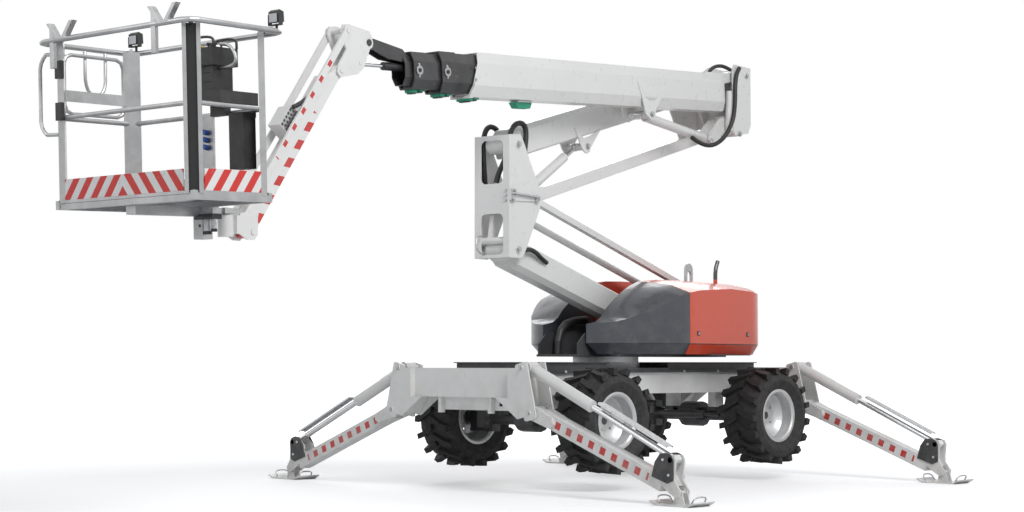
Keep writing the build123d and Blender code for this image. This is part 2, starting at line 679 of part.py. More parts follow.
with BuildPart() as lower_tie:
    beam(lower_tie_rear, knuckle_middle, lower_tie_w, box_outline(tie_width, tie_width, 3, 3))
    for at in (lower_tie_rear, knuckle_middle):
        pin(at, 40, lower_tie_w - tie_width / 2, lower_tie_w + tie_width / 2)
        pin(at, tie_pin_radius + pin_play, lower_tie_w - 100, lower_tie_w + 100, mode=Mode.SUBTRACT)
lower_tie.part.label = "lower_tie"
export_step(lower_tie.part, "parts/lower_tie.step")

with BuildPart() as lower_tube:
    tube(lower_tube_rear, lower_tube_front, lower_tube_w, 31)
    for at in (lower_tube_rear, lower_tube_front):
        pin(at, 40, lower_tube_w - 34, lower_tube_w + 34)
        pin(at, tie_pin_radius + pin_play, lower_tube_w - 60, lower_tube_w + 60, mode=Mode.SUBTRACT)
lower_tube.part.label = "lower_tube"
export_step(lower_tube.part, "parts/lower_tube.step")

upper_front = (1588.0, 2927.0)
upper_vector = (-2931.0, 829.0)
upper_rear = shift(upper_front, upper_vector)
upper_tie_rear = shift(knuckle_middle, upper_vector)
knuckle_face = 1706.0
knuckle_half = 185.0
knuckle_sheet = 12.0
knuckle_bottom = 1962.0
knuckle_top = 3000.0

with BuildPart() as knuckle_frame:
    with BuildSketch(side(knuckle_half)) as flank:
        with BuildLine():
            Polyline((knuckle_face, knuckle_bottom), (knuckle_face, knuckle_top), (1545, 3018), (1505, 2960),
                     (1268, 2560), (1255, 2470), (1268, 2400), (1500, 1985), (1540, knuckle_bottom), close=True)
        make_face()
    extrude(flank.sketch, amount=knuckle_sheet)
    extrude(flank.sketch.moved(Location(across * -(2 * knuckle_half - knuckle_sheet))), amount=knuckle_sheet)
    # Front plate with two windows
    face = Plane(origin=spot(knuckle_face, 0, 0), x_dir=across, z_dir=fore)
    with BuildSketch(face) as front:
        with Locations((0, (knuckle_bottom + knuckle_top) / 2)):
            Rectangle(2 * knuckle_half, knuckle_top - knuckle_bottom)
        for z0, z1 in ((1990, 2335), (2590, 2960)):
            with Locations((0, (z0 + z1) / 2)):
                RectangleRounded(240, z1 - z0, 50, mode=Mode.SUBTRACT)
    extrude(front.sketch, amount=-knuckle_sheet)
    for at in (upper_front, lower_front):
        pin(at, arm_pin_radius, -knuckle_half - 14, knuckle_half + 14)
    pin(knuckle_middle, tie_pin_radius, -56, knuckle_half + 14)
    pin(lower_tube_front, tie_pin_radius, -knuckle_half - 14, -50)
    # Guard, boss and strut in the lower window
    slab([(1600, 2330), (1650, 2330), (1690, 2120), (1640, 2120)], -60, -20)
    pin((1670, 2110), 30, -knuckle_half, knuckle_half)
    # Galvanised bracket on the left flank
    slab([(1706, 2440), (1706, 2530), (1330, 2500), (1330, 2455)], knuckle_half, knuckle_half + 14)
knuckle_frame.part.label = "knuckle_frame"
export_step(knuckle_frame.part, "parts/knuckle_frame.step")

# Upper arm, its tie bar and its lift cylinder

upper_line = unit(upper_front, upper_rear)
lift_eye = (447.0, 3022.0)
lift_w = -30.0
lift_radius = 44.0
lift_line = unit(knuckle_middle, lift_eye)
lift_length = hypot(lift_eye[0] - knuckle_middle[0], lift_eye[1] - knuckle_middle[1])
lift_barrel_length = 830.0
lift_rod_radius = 25.0

with BuildPart() as upper_arm:
    boxed(shift(upper_front, upper_line, 48), shift(upper_rear, upper_line, -110), 0,
          arm_section(0, True), arm_section(-arm_wall, True), arm_wall)
    for at, sign in ((upper_front, 1), (upper_rear, -1)):
        pin(at, 75, -arm_width / 2, arm_width / 2)
        near = shift(at, upper_line, sign * 150)
        normal = (-upper_line[1], upper_line[0])
        slab([shift(at, normal, 75), shift(near, normal, 100), shift(near, normal, -100), shift(at, normal, -75)],
             -arm_width / 2 + 1, arm_width / 2 - 1)
        pin(at, arm_pin_radius + pin_play, -arm_width, arm_width, mode=Mode.SUBTRACT)
    # Lugs for the lift cylinder, with long pointed gussets up the arm's sides
    for w0 in (-112, 100):
        slab([(640, 3170), (530, 3000), (485, 2966), (447, 2955), (405, 2975), (395, 3010), (225, 3205), (400, 3120),
              (500, 3090)], w0, w0 + 12)
    pin(lift_eye, tie_pin_radius, -122, 122)
    for w0, w1 in ((-100, lift_w - 30), (lift_w + 30, 100)):
        pin(lift_eye, 34, w0, w1)
upper_arm.part.label = "upper_arm"
export_step(upper_arm.part, "parts/upper_arm.step")

upper_tie_w = 60.0
upper_tie_height = 105.0

with BuildPart() as upper_tie:
    normal = (-upper_line[1], upper_line[0])
    beam(shift(knuckle_middle, upper_line, 60), shift(upper_tie_rear, upper_line, -60), upper_tie_w,
         box_outline(60, upper_tie_height, 4, 4))
    for at, sign in ((knuckle_middle, 1), (upper_tie_rear, -1)):
        pin(at, 42, upper_tie_w - 30, upper_tie_w + 30)
        near = shift(at, upper_line, sign * 100)
        slab([shift(at, normal, 42), shift(near, normal, 50), shift(near, normal, -50), shift(at, normal, -42)],
             upper_tie_w - 29, upper_tie_w + 29)
        pin(at, tie_pin_radius + pin_play, upper_tie_w - 60, upper_tie_w + 60, mode=Mode.SUBTRACT)
upper_tie.part.label = "upper_tie"
export_step(upper_tie.part, "parts/upper_tie.step")

with BuildPart() as lift_barrel:
    tube(shift(knuckle_middle, lift_line, 60), shift(knuckle_middle, lift_line, lift_barrel_length), lift_w, lift_radius)
    pin(knuckle_middle, 42, lift_w - 25, lift_w + 25)
    tube(knuckle_middle, shift(knuckle_middle, lift_line, 62), lift_w, 24)
    pin(knuckle_middle, tie_pin_radius + pin_play, lift_w - 60, lift_w + 60, mode=Mode.SUBTRACT)
    tube(shift(knuckle_middle, lift_line, 110), shift(knuckle_middle, lift_line, lift_barrel_length + 10), lift_w,
         lift_rod_radius + pin_play, mode=Mode.SUBTRACT)
lift_barrel.part.label = "lift_barrel"
export_step(lift_barrel.part, "parts/lift_barrel.step")

with BuildPart() as lift_rod:
    tube(shift(lift_eye, lift_line, -760), shift(lift_eye, lift_line, -30), lift_w, lift_rod_radius)
    pin(lift_eye, 38, lift_w - 28, lift_w + 28)
    pin(lift_eye, tie_pin_radius + pin_play, lift_w - 60, lift_w + 60, mode=Mode.SUBTRACT)
lift_rod.part.label = "lift_rod"
export_step(lift_rod.part, "parts/lift_rod.step")

# End frame: carries the upper arm on one side and the telescopic boom beside it

boom_w = 340.0
boom_pivot = (-1750.0, 3900.0)
boom_pin_radius = 30.0
end_far = -135.0
end_middle = 185.0
end_near = 475.0
end_sheet = 15.0
boom_cylinder_base = (-1237.0, 3236.0)

with BuildPart() as end_frame:
    slab([(-1500, 3370), (-1500, 3930), (-1530, 3985), (-1842, 3985), (-1842, 3420), (-1790, 3330), (-1540, 3290)],
         end_near, end_near + end_sheet)
    inner_flank = [(-1240, 3700), (-1240, 3830), (-1300, 3870), (-1530, 3985), (-1842, 3985), (-1842, 3420),
                   (-1690, 3255), (-1540, 3245)]
    for w0 in (end_far, end_middle):
        slab(inner_flank, w0, w0 + end_sheet)
    slab([(-1842, 3420), (-1842, 3985), (-1827, 3985), (-1827, 3420)], end_far, end_near + end_sheet)
    # Round uprights and foot tube in front of the near plate
    tube((-1490, 3330), (-1490, 3720), 450, 38)
    pin((-1545, 3345), 38, end_middle, end_near + 5)
    # Cross box with the boom cylinder's ears
    slab([(-1560, 3400), (-1560, 3480), (-1490, 3480), (-1490, 3400)], end_middle, end_near + end_sheet)
    for w0 in (boom_w - 67, boom_w + 52):
        slab([(-1560, 3380), (-1560, 3480), (-1380, 3440), (-1190, 3280), (-1185, 3215), (-1240, 3185),
              (-1300, 3200)], w0, w0 + end_sheet)
    pin(upper_rear, arm_pin_radius, end_far - 10, end_middle + end_sheet + 10)
    pin(upper_tie_rear, tie_pin_radius, end_far - 10, end_near + end_sheet + 12)
    pin(boom_pivot, boom_pin_radius, end_middle - 10, end_near + end_sheet + 12)
    pin(boom_cylinder_base, tie_pin_radius, boom_w - 79, boom_w + 79)
end_frame.part.label = "end_frame"
export_step(end_frame.part, "parts/end_frame.step")

# Telescopic boom

boom_pitch = radians(4.6)
boom_line = (cos(boom_pitch), -sin(boom_pitch))
boom_up = (sin(boom_pitch), cos(boom_pitch))
boom_axis = (0.0, 3584.0)


def on_boom(s, t=0.0):
    """Point s forward along the boom's centre line from beside the slew axis, and t above it."""
    return shift(shift(boom_axis, boom_line, s), boom_up, t)


outer_rear = -1405.0
outer_front = 2500.0
boom_cylinder_lug = (-72.0, 3341.0)
sections = [(230, 360, 180, 170), (200, 315, 155, 140), (170, 275, 135, 110), (140, 235, 110, 80)]
walls = [6.0, 5.0, 5.0, 5.0]
pad_play = 0.1


def section(index, grow=0.0):
    width, height, waist, edge = sections[index]
    return creased_outline(width + 2 * grow, height + 2 * grow, waist + grow, edge + 2 * grow)


def boom_tube(index, s0, s1):
    beam(on_boom(s0), on_boom(s1), boom_w, section(index), section(index, -walls[index]))


def collar(index, s0, s1, grow):
    beam(on_boom(s0), on_boom(s1), boom_w, section(index, grow), section(index, -walls[index]))


def runner_pads(index, s0, s1, back=0.0):
    """Slide pads inside a section's mouth, above and below the section that runs in it."""
    half = sections[index + 1][3] / 2 - 6
    for sign, away in ((-1, 0.0), (1, back)):
        near = sign * (sections[index + 1][1] / 2 + pad_play)
        far = sign * (sections[index][1] / 2 - walls[index])
        slab([on_boom(s0 - away, near), on_boom(s1 - away, near), on_boom(s1 - away, far), on_boom(s0 - away, far)],
             boom_w - half, boom_w + half)


with BuildPart() as boom_outer:
    boom_tube(0, outer_rear, outer_front + 105)
    collar(0, outer_front + 40, outer_front + 105, 12)
    # Slanted front edge
    slab([on_boom(outer_front - 75, 230), on_boom(outer_front + 300, 230), on_boom(outer_front + 300, -230),
          on_boom(outer_front + 105, -230)], boom_w - 200, boom_w + 200, mode=Mode.SUBTRACT)
    # Rear lugs up to the pivot
    for w0 in (boom_w - 105, boom_w + 90):
        slab([on_boom(-1405, 185), on_boom(-1100, 178), on_boom(-1000, 120), on_boom(-1300, 60), on_boom(-1480, 100),
              shift(boom_pivot, (60, -50)), shift(boom_pivot, (-25, -58)), shift(boom_pivot, (-60, -15)),
              shift(boom_pivot, (-40, 45)), shift(boom_pivot, (60, 50))], w0, w0 + end_sheet)
    pin(boom_pivot, 58, boom_w - 105, boom_w + 105)
    slab([on_boom(-1700, 178), on_boom(-1100, 178), on_boom(-1100, 190), on_boom(-1700, 190)],
         boom_w - 100, boom_w + 100)
    pin(boom_pivot, boom_pin_radius + pin_play, 0, 600, mode=Mode.SUBTRACT)
    # Lugs for the lift cylinder, with long pointed gussets up the boom's sides
    for w0 in (boom_w - 127, boom_w + 115):
        slab([(150, 3610), (60, 3430), (20, 3330), (-72, 3285), (-125, 3320), (-150, 3390), (-330, 3620), (-150, 3480),
              (-40, 3460), (50, 3480)], w0, w0 + 12)
    beam(on_boom(outer_rear - 5), on_boom(outer_front), boom_w, section(0, -walls[0]), mode=Mode.SUBTRACT)
    runner_pads(0, outer_front - 60, outer_front + 70, 150)
    pin(boom_cylinder_lug, tie_pin_radius, boom_w - 135, boom_w + 135)
    for w0, w1 in ((boom_w - 116, boom_w - 43), (boom_w + 43, boom_w + 116)):
        pin(boom_cylinder_lug, 36, w0, w1)
boom_outer.part.label = "boom_outer"
export_step(boom_outer.part, "parts/boom_outer.step")

with BuildPart() as boom_middle:
    boom_tube(1, -1300, 2925)
    collar(1, 2725, 2925, 7)
    runner_pads(1, 2790, 2915)
boom_middle.part.label = "boom_middle"
export_step(boom_middle.part, "parts/boom_middle.step")

with BuildPart() as boom_second:
    boom_tube(2, -1200, 3250)
    collar(2, 3050, 3250, 7)
    runner_pads(2, 3115, 3240)
boom_second.part.label = "boom_second"
export_step(boom_second.part, "parts/boom_second.step")

head_hinge = (3745.0, 3465.0)
head_pin_radius = 25.0
head_half = 75.0
head_sheet = 14.0
level_pin = (3840.0, 3300.0)
level_base = on_boom(2950, 25)
level_line = unit(level_base, level_pin)

with BuildPart() as boom_inner:
    boom_tube(3, -1100, 3330)
    for w0 in (boom_w - 50, boom_w + 38):
        slab([on_boom(3100, 110), on_boom(3275, 112), (3330, 3475), (3700, 3512), (3785, 3500), (3795, 3450), (3755, 3425), (3660, 3425),
              (3500, 3380), on_boom(3330, 60), on_boom(3100, 60)], w0, w0 + 12)
    slab([(3330, 3440), (3330, 3452), (3690, 3480), (3690, 3468)], boom_w - 50, boom_w + 50)
    pin(head_hinge, head_pin_radius, boom_w - head_half - 8, boom_w + head_half + 8)
    pin(level_base, 14, boom_w - 66, boom_w + 66)
boom_inner.part.label = "boom_inner"
export_step(boom_inner.part, "parts/boom_inner.step")

with BuildPart() as level_barrel:
    tube(shift(level_base, level_line, 20), shift(level_base, level_line, 560), boom_w, 32)
    pin(level_base, 24, boom_w - 25, boom_w + 25)
    pin(level_base, 14 + pin_play, boom_w - 40, boom_w + 40, mode=Mode.SUBTRACT)
    tube(shift(level_base, level_line, 60), shift(level_base, level_line, 570), boom_w, 14 + pin_play, mode=Mode.SUBTRACT)
level_barrel.part.label = "level_barrel"
export_step(level_barrel.part, "parts/level_barrel.step")

with BuildPart() as level_rod:
    tube(shift(level_pin, level_line, -560), shift(level_pin, level_line, -15), boom_w, 14)
    pin(level_pin, 22, boom_w - 25, boom_w + 25)
level_rod.part.label = "level_rod"
export_step(level_rod.part, "parts/level_rod.step")

boom_cylinder_line = unit(boom_cylinder_base, boom_cylinder_lug)
boom_cylinder_length = hypot(boom_cylinder_lug[0] - boom_cylinder_base[0], boom_cylinder_lug[1] - boom_cylinder_base[1])

with BuildPart() as boom_barrel:
    tube(shift(boom_cylinder_base, boom_cylinder_line, 32), shift(boom_cylinder_base, boom_cylinder_line, 1090), boom_w, 44)
    pin(boom_cylinder_base, 42, boom_w - 40, boom_w + 40)
    pin(boom_cylinder_base, tie_pin_radius + pin_play, boom_w - 90, boom_w + 90, mode=Mode.SUBTRACT)
    tube(shift(boom_cylinder_base, boom_cylinder_line, 80), shift(boom_cylinder_base, boom_cylinder_line, 1100), boom_w,
         26 + pin_play, mode=Mode.SUBTRACT)
boom_barrel.part.label = "boom_barrel"
export_step(boom_barrel.part, "parts/boom_barrel.step")

with BuildPart() as boom_rod:
    tube(shift(boom_cylinder_lug, boom_cylinder_line, -1080), shift(boom_cylinder_lug, boom_cylinder_line, -30), boom_w, 26)
    pin(boom_cylinder_lug, 38, boom_w - 40, boom_w + 40)
    pin(boom_cylinder_lug, tie_pin_radius + pin_play, boom_w - 90, boom_w + 90, mode=Mode.SUBTRACT)
boom_rod.part.label = "boom_rod"
export_step(boom_rod.part, "parts/boom_rod.step")

# Boom head, jib and its links

jib_top = (4041.0, 3218.0)
link_top = (3999.0, 3519.0)
jib_vector = (895.0, -1237.0)
jib_foot = shift(jib_top, jib_vector)
link_foot = shift(link_top, jib_vector)
jib_line = unit(jib_top, jib_foot)
jib_side = (-jib_line[1], jib_line[0])
link_half = 100.0
link_sheet = 18.0
jib_half = 55.0
jib_pin_radius = 20.0

with BuildPart() as boom_head:
    for w0 in (boom_w - head_half, boom_w + head_half - head_sheet):
        slab([(3960, 3570), (4030, 3560), (4050, 3500), (3990, 3380), (4075, 3255), (4085, 3200), (4050, 3165),
              (3860, 3215), (3800, 3265), (3730, 3420), (3705, 3500), (3735, 3550)], w0, w0 + head_sheet)
    slab([(3880, 3235), (3890, 3360), (3905, 3360), (3900, 3230)], boom_w - head_half + 5, boom_w + head_half - 5)
    pin(head_hinge, 48, boom_w - head_half, boom_w - head_half + head_sheet)
    pin(head_hinge, 48, boom_w + head_half - head_sheet, boom_w + head_half)
    pin(head_hinge, head_pin_radius + pin_play, boom_w - 120, boom_w + 120, mode=Mode.SUBTRACT)
    for w0 in (boom_w - head_half - 6, boom_w + head_half - head_sheet):
        pin(level_pin, 14, w0, w0 + head_sheet + 6)
    pin(jib_top, jib_pin_radius, boom_w - head_half - 8, boom_w + head_half + 8)
    pin(link_top, jib_pin_radius, boom_w - link_half - 8, boom_w + link_half + 8)
boom_head.part.label = "boom_head"
export_step(boom_head.part, "parts/boom_head.step")

with BuildPart() as jib:
    slab([shift(shift(jib_top, jib_line, 60), jib_side, -28), shift(shift(jib_foot, jib_line, -45), jib_side, -28),
          shift(shift(jib_foot, jib_line, -75), jib_side, 95), shift(shift(jib_top, jib_line, 130), jib_side, 95)],
         boom_w - jib_half, boom_w + jib_half)
    for at in (jib_top, jib_foot):
        pin(at, 42, boom_w - jib_half, boom_w + jib_half)
    slab([shift(jib_top, jib_side, -40), shift(shift(jib_top, jib_line, 80), jib_side, -28),
          shift(shift(jib_top, jib_line, 150), jib_side, 90), shift(jib_top, jib_side, 35)],
         boom_w - jib_half, boom_w + jib_half)
    slab([shift(jib_foot, jib_side, -40), shift(shift(jib_foot, jib_line, -80), jib_side, -28),
          shift(shift(jib_foot, jib_line, -90), jib_side, 80), shift(jib_foot, jib_side, 35)],
         boom_w - jib_half, boom_w + jib_half)
    # Valve cover standing between the links
    slab([shift(shift(jib_top, jib_line, 520), jib_side, 90), shift(shift(jib_top, jib_line, 740), jib_side, 90),
          shift(shift(jib_top, jib_line, 740), jib_side, 235), shift(shift(jib_top, jib_line, 560), jib_side, 235)],
         boom_w - 60, boom_w + 60)
    for at in (jib_top, jib_foot):
        pin(at, jib_pin_radius + pin_play, boom_w - 120, boom_w + 120, mode=Mode.SUBTRACT)
jib.part.label = "jib"
export_step(jib.part, "parts/jib.step")

with BuildPart() as jib_links:
    for w0 in (boom_w - link_half, boom_w + link_half - link_sheet):
        slab([shift(link_top, jib_side, 28), shift(link_foot, jib_side, 28), shift(link_foot, jib_side, -28),
              shift(link_top, jib_side, -28)], w0, w0 + link_sheet)
        for at in (link_top, link_foot):
            pin(at, 38, w0, w0 + link_sheet)
            pin(at, jib_pin_radius + pin_play, boom_w - 140, boom_w + 140, mode=Mode.SUBTRACT)
jib_links.part.label = "jib_links"
export_step(jib_links.part, "parts/jib_links.step")

# Basket bracket, basket and what stands in it

basket_lean = radians(2.4)
rotator_u = 5130.0
basket_u = 5672.0
basket_w = 315.0
basket_floor = 2146.0
basket_fore = fore * cos(basket_lean) + Vector(0, 0, -sin(basket_lean))
basket_up = fore * sin(basket_lean) + Vector(0, 0, cos(basket_lean))
basket_origin = spot(basket_u, basket_w, basket_floor)
basket_plane = Plane(origin=basket_origin, x_dir=basket_fore, z_dir=basket_up)
basket_half_depth = 353.0
basket_half_width = 675.0
basket_height = 1105.0
hd, hw = basket_half_depth, basket_half_width
rotator_a = rotator_u - basket_u
rotator_b = boom_w - basket_w

bracket_front = rotator_u - 40.0
bracket_foot = jib_foot[1] - 21.0
beam_neck_end = rotator_a + head_half + 15.0

with BuildPart() as basket_bracket:
    for w0 in (boom_w - head_half, boom_w + head_half - head_sheet):
        slab([shift(link_foot, (-24, 63)), shift(link_foot, (31, 63)), shift(link_foot, (66, -102)),
              (rotator_u - 120, jib_foot[1] + 131), (rotator_u - 70, jib_foot[1] + 119), (rotator_u - 70, bracket_foot),
              shift(jib_foot, (54, -56)), shift(jib_foot, (-11, -56)), shift(jib_foot, (-46, -21)),
              shift(jib_foot, (-46, 99)), shift(link_foot, (-44, -22)), shift(link_foot, (-49, 28))],
             w0, w0 + head_sheet)
    pin(jib_foot, jib_pin_radius, boom_w - head_half - 8, boom_w + head_half + 8)
    for w0 in (boom_w - link_half - 8, boom_w + head_half - head_sheet):
        pin(link_foot, jib_pin_radius, w0, w0 + link_half + 8 - head_half + head_sheet)
    slab([(rotator_u - 80, bracket_foot), (rotator_u - 80, jib_foot[1] + 105), (bracket_front, jib_foot[1] + 105),
          (bracket_front, bracket_foot)], boom_w - head_half, boom_w + head_half)
    with BuildSketch(basket_plane) as seat:
        with Locations((rotator_a, rotator_b)):
            Circle(56)
    extrude(seat.sketch, amount=-230)
    extrude(seat.sketch, amount=-80, mode=Mode.SUBTRACT)
    with BuildSketch(basket_plane) as stud:
        with Locations((rotator_a, rotator_b)):
            Circle(30)
    extrude(stud.sketch, amount=-100)
    extrude(stud.sketch, amount=-30, mode=Mode.SUBTRACT)
basket_bracket.part.label = "basket_bracket"
export_step(basket_bracket.part, "parts/basket_bracket.step")


def basket_box(a0, a1, b0, b1, h0, h1, mode=Mode.ADD):
    """Block in the basket's own frame: a forward, b left, h up from the floor's underside."""
    with Locations(basket_plane.location):
        with Locations(((a0 + a1) / 2, (b0 + b1) / 2, (h0 + h1) / 2)):
            Box(a1 - a0, b1 - b0, h1 - h0, mode=mode)


def basket_rail(points, radius, bend=50.0, close=False):
    """Rail of twelve flats along points given in the basket's frame, its corners cut in three."""
    ends = list(range(len(points)))
    path = []
    for i in ends:
        here = Vector(*points[i])
        if not close and i in (0, len(points) - 1):
            path.append(here)
            continue
        back = (Vector(*points[i - 1]) - here).normalized()
        on = (Vector(*points[(i + 1) % len(points)]) - here).normalized()
        path += [here + back * bend, here + (back + on) * bend * 0.3, here + on * bend]
    if close:
        middle = (path[-1] + path[0]) / 2
        path = [middle] + path + [middle]
    with BuildLine() as route:
        Polyline(*[basket_plane.from_local_coords(p) for p in path])
    with BuildSketch(Plane(origin=route.line @ 0, z_dir=route.line % 0)) as ring:
        RegularPolygon(radius, 12)
    sweep(ring.sketch, path=route.line, transition=Transition.RIGHT)


with BuildPart() as basket_beam:
    basket_box(rotator_a - 62, rotator_a + 62, rotator_b - 62, rotator_b + 62, -74, -36)
    basket_box(rotator_a + 62, beam_neck_end, rotator_b - 45, rotator_b + 45, -74, -36)
    basket_box(beam_neck_end, 300, rotator_b - 45, rotator_b + 45, -96, -36)
    basket_box(rotator_a + 165, rotator_a + 255, rotator_b - 45, rotator_b + 45, -250, -90)
    basket_box(hd - 60, hd - 12, -hw + 50, hw - 50, -36, 4)
    basket_box(-hd + 12, -hd + 60, -hw + 50, hw - 50, -36, 4)
    with BuildSketch(basket_plane) as bore:
        with Locations((rotator_a, rotator_b)):
            Circle(30 + pin_play)
    extrude(bore.sketch, amount=-140, mode=Mode.SUBTRACT)
basket_beam.part.label = "basket_beam"
export_step(basket_beam.part, "parts/basket_beam.step")

post_half = 58.0
post_depth = 42.0
post_inset = 33.0
rail_radius = 19.0
middle_radius = 16.0
rail_out = 62.0
rail_height = basket_height - rail_radius
middle_height = 580.0
kick_height = 165.0


def basket_bar(start, finish, radius):
    """Straight round bar between two points in the basket's frame."""
    a = basket_plane.from_local_coords(start)
    b = basket_plane.from_local_coords(finish)
    with BuildSketch(Plane(origin=a, z_dir=(b - a).normalized())) as ring:
        Circle(radius)
    extrude(ring.sketch, amount=(b - a).length)


with BuildPart() as basket_frame:
    # Floor frame and deck
    basket_box(-hd + 8, hd - 8, -hw + 8, hw - 8, 6, 26)
    basket_box(-hd + 22, hd - 22, -hw + 22, hw - 22, 24, 30)
    for sign in (1, -1):
        basket_box(-hd + 8, hd - 8, min(sign * (hw - 8), sign * (hw - 48)), max(sign * (hw - 8), sign * (hw - 48)), -34, 26)
    # Corner posts: channels set across the corners, with their groove outwards
    for sa in (1, -1):
        for sb in (1, -1):
            turn = degrees(atan2(sb, sa))
            with BuildSketch(basket_plane.offset(5)) as post:
                with Locations(Location((sa * (hd - post_inset - 12), sb * (hw - post_inset - 12), 0), (0, 0, turn))):
                    Rectangle(post_depth, 2 * post_half)
                with Locations(Location((sa * (hd - post_inset + 2), sb * (hw - post_inset + 2), 0), (0, 0, turn))):
                    Rectangle(22, post_half, mode=Mode.SUBTRACT)
            extrude(post.sketch, amount=basket_height - 30)
    # Top rail round the outside, on short arms from the posts
    ra, rb = hd + rail_out, hw + rail_out
    basket_rail([(ra, rb, rail_height), (-ra, rb, rail_height), (-ra, -rb, rail_height), (ra, -rb, rail_height)],
                rail_radius, 75, True)
    for sa in (1, -1):
        for sb in (1, -1):
            basket_bar((sa * (hd - 60), sb * (hw - 60), rail_height), (sa * (ra - 24), sb * (rb - 24), rail_height), 15)
    # Middle rails
    for start, finish in (((hd - 30, -hw + 70), (hd - 30, hw - 70)), ((-hd + 30, -hw + 70), (-hd + 30, hw - 70)),
                          ((-hd + 70, hw - 30), (hd - 70, hw - 30)), ((-hd + 70, -hw + 30), (hd - 70, -hw + 30))):
        basket_bar((*start, middle_height), (*finish, middle_height), middle_radius)
    # Gate loop on the right, seen through the front
    gate = [(-hd + 95, -hw + 12, 620), (hd - 95, -hw + 12, 620), (hd - 95, -hw + 12, 1020), (-hd + 95, -hw + 12, 1020)]
    basket_rail(gate, 14, 60, True)
    basket_box(-hd + 60, hd - 60, -hw + 22, -hw + 34, 700, 775)
    # Gate loop that stands out past the front right post
    basket_rail([(hd + 10, -hw - 40, 470), (hd + 10, -hw - 105, 520), (hd + 10, -hw - 105, 960),
                 (hd + 10, -hw - 40, 1010)], 13, 45)
    basket_bar((hd + 10, -hw - 42, 1010), (hd - 40, -hw + 40, 1010), 13)
    basket_bar((hd + 10, -hw - 42, 471), (hd - 40, -hw + 40, 471), 13)
basket_frame.part.label = "basket_frame"
export_step(basket_frame.part, "parts/basket_frame.step")

with BuildPart() as kick_plates:
    for sign in (1, -1):
        basket_box(min(sign * (hd - 16), sign * (hd - 10)), max(sign * (hd - 16), sign * (hd - 10)),
                   -hw + 104, hw - 104, 26.5, kick_height)
        basket_box(-hd + 104, hd - 104, min(sign * (hw - 16), sign * (hw - 10)),
                   max(sign * (hw - 16), sign * (hw - 10)), 26.5, kick_height)
kick_plates.part.label = "kick_plates"
export_step(kick_plates.part, "parts/kick_plates.step")

with BuildPart() as control_console:
    # Cabinet and its panel, over the rear middle rail
    basket_box(-hd + 52, -hd + 230, 170, 370, 640, 880)
    basket_box(-hd + 20, -hd + 250, 150, 390, 880, 1000)
    basket_box(-hd + 46.5, -hd + 100, 200, 340, 560, 640)
    # Tray on the left middle rail, and the storage box below it
    basket_box(-hd + 104, 90, hw - 200, hw - 22, 596.05, 676)
    basket_box(-hd + 108, 86, hw - 196, hw - 26, 608, 690, mode=Mode.SUBTRACT)
    basket_box(-hd + 50, -hd + 165, hw - 235, hw - 104, 190, 560)
    for b in (hw - 215, hw - 135):
        basket_box(-hd + 22, -hd + 60, b - 10, b + 10, 530, 563.95)
control_console.part.label = "control_console"
export_step(control_console.part, "parts/control_console.step")
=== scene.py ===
# %% [markdown]
# # Articulating boom lift
# A boom lift parks on four outriggers, folds two arms behind each other, and lays a telescopic boom beside
# them.
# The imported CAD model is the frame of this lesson: every solid is in its place, in metres, on its own body.
# Blender adds the camera, the light, the finishes, and the small pieces that a maker bolts on last.

# %% Load the frame
import json
from math import atan2, cos, radians, sin, tau

import bmesh
import bpy
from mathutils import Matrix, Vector


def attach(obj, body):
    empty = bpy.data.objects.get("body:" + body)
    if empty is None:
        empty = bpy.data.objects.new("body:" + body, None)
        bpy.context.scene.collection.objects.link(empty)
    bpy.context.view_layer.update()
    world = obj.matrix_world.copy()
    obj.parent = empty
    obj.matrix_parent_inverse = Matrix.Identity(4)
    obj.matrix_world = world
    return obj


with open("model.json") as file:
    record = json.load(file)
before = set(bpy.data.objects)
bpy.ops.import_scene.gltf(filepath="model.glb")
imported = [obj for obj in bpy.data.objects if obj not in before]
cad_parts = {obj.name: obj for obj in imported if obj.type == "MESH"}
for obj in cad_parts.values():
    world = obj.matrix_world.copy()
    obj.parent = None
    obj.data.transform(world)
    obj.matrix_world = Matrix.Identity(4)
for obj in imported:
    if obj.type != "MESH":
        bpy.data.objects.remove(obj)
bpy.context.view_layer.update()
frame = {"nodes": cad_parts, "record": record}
nodes = frame["nodes"]

# %% [markdown]
# ## Camera
# The photograph was taken from the machine's front left corner, at chest height and slightly upwards.
# A fitted camera gives its place, heading and focal length, so the render lines up with the photograph.

# %% Camera
camera_place = Vector((10.560, 11.147, 1.078))
camera_yaw = radians(44.561)
camera_pitch = radians(3.349)
focal_pixels = 1826.36
frame_width = 1024

level = cos(camera_pitch)
heading = Vector((-cos(camera_yaw) * level, -sin(camera_yaw) * level, sin(camera_pitch)))
lens = bpy.data.cameras.new("camera")
lens.sensor_width = 36.0
lens.lens = focal_pixels / frame_width * lens.sensor_width
lens.clip_end = 200.0
camera = bpy.data.objects.new("camera", lens)
camera.location = camera_place
camera.rotation_euler = heading.to_track_quat("-Z", "Y").to_euler()
bpy.context.scene.collection.objects.link(camera)
bpy.context.scene.camera = camera
print("focal length", round(lens.lens, 2), "mm")

# %% [markdown]
# ## Stage and light
# White paint shows its form only under light that falls off, so one large soft lamp leads from the left,
# a weaker one fills from the right, and one from behind draws the far edges.
# The world is white to the camera, to mirrors and to glass, and a calm grey to everything else.

# %% Lamps


def area_lamp(name, place, aim, size, power):
    """Round soft lamp at place, aimed at a point."""
    data = bpy.data.lights.new(name, "AREA")
    data.shape = "DISK"
    data.size = size
    data.energy = power
    lamp = bpy.data.objects.new(name, data)
    lamp.location = place
    lamp.rotation_euler = (Vector(aim) - Vector(place)).to_track_quat("-Z", "Y").to_euler()
    bpy.context.scene.collection.objects.link(lamp)
    return lamp


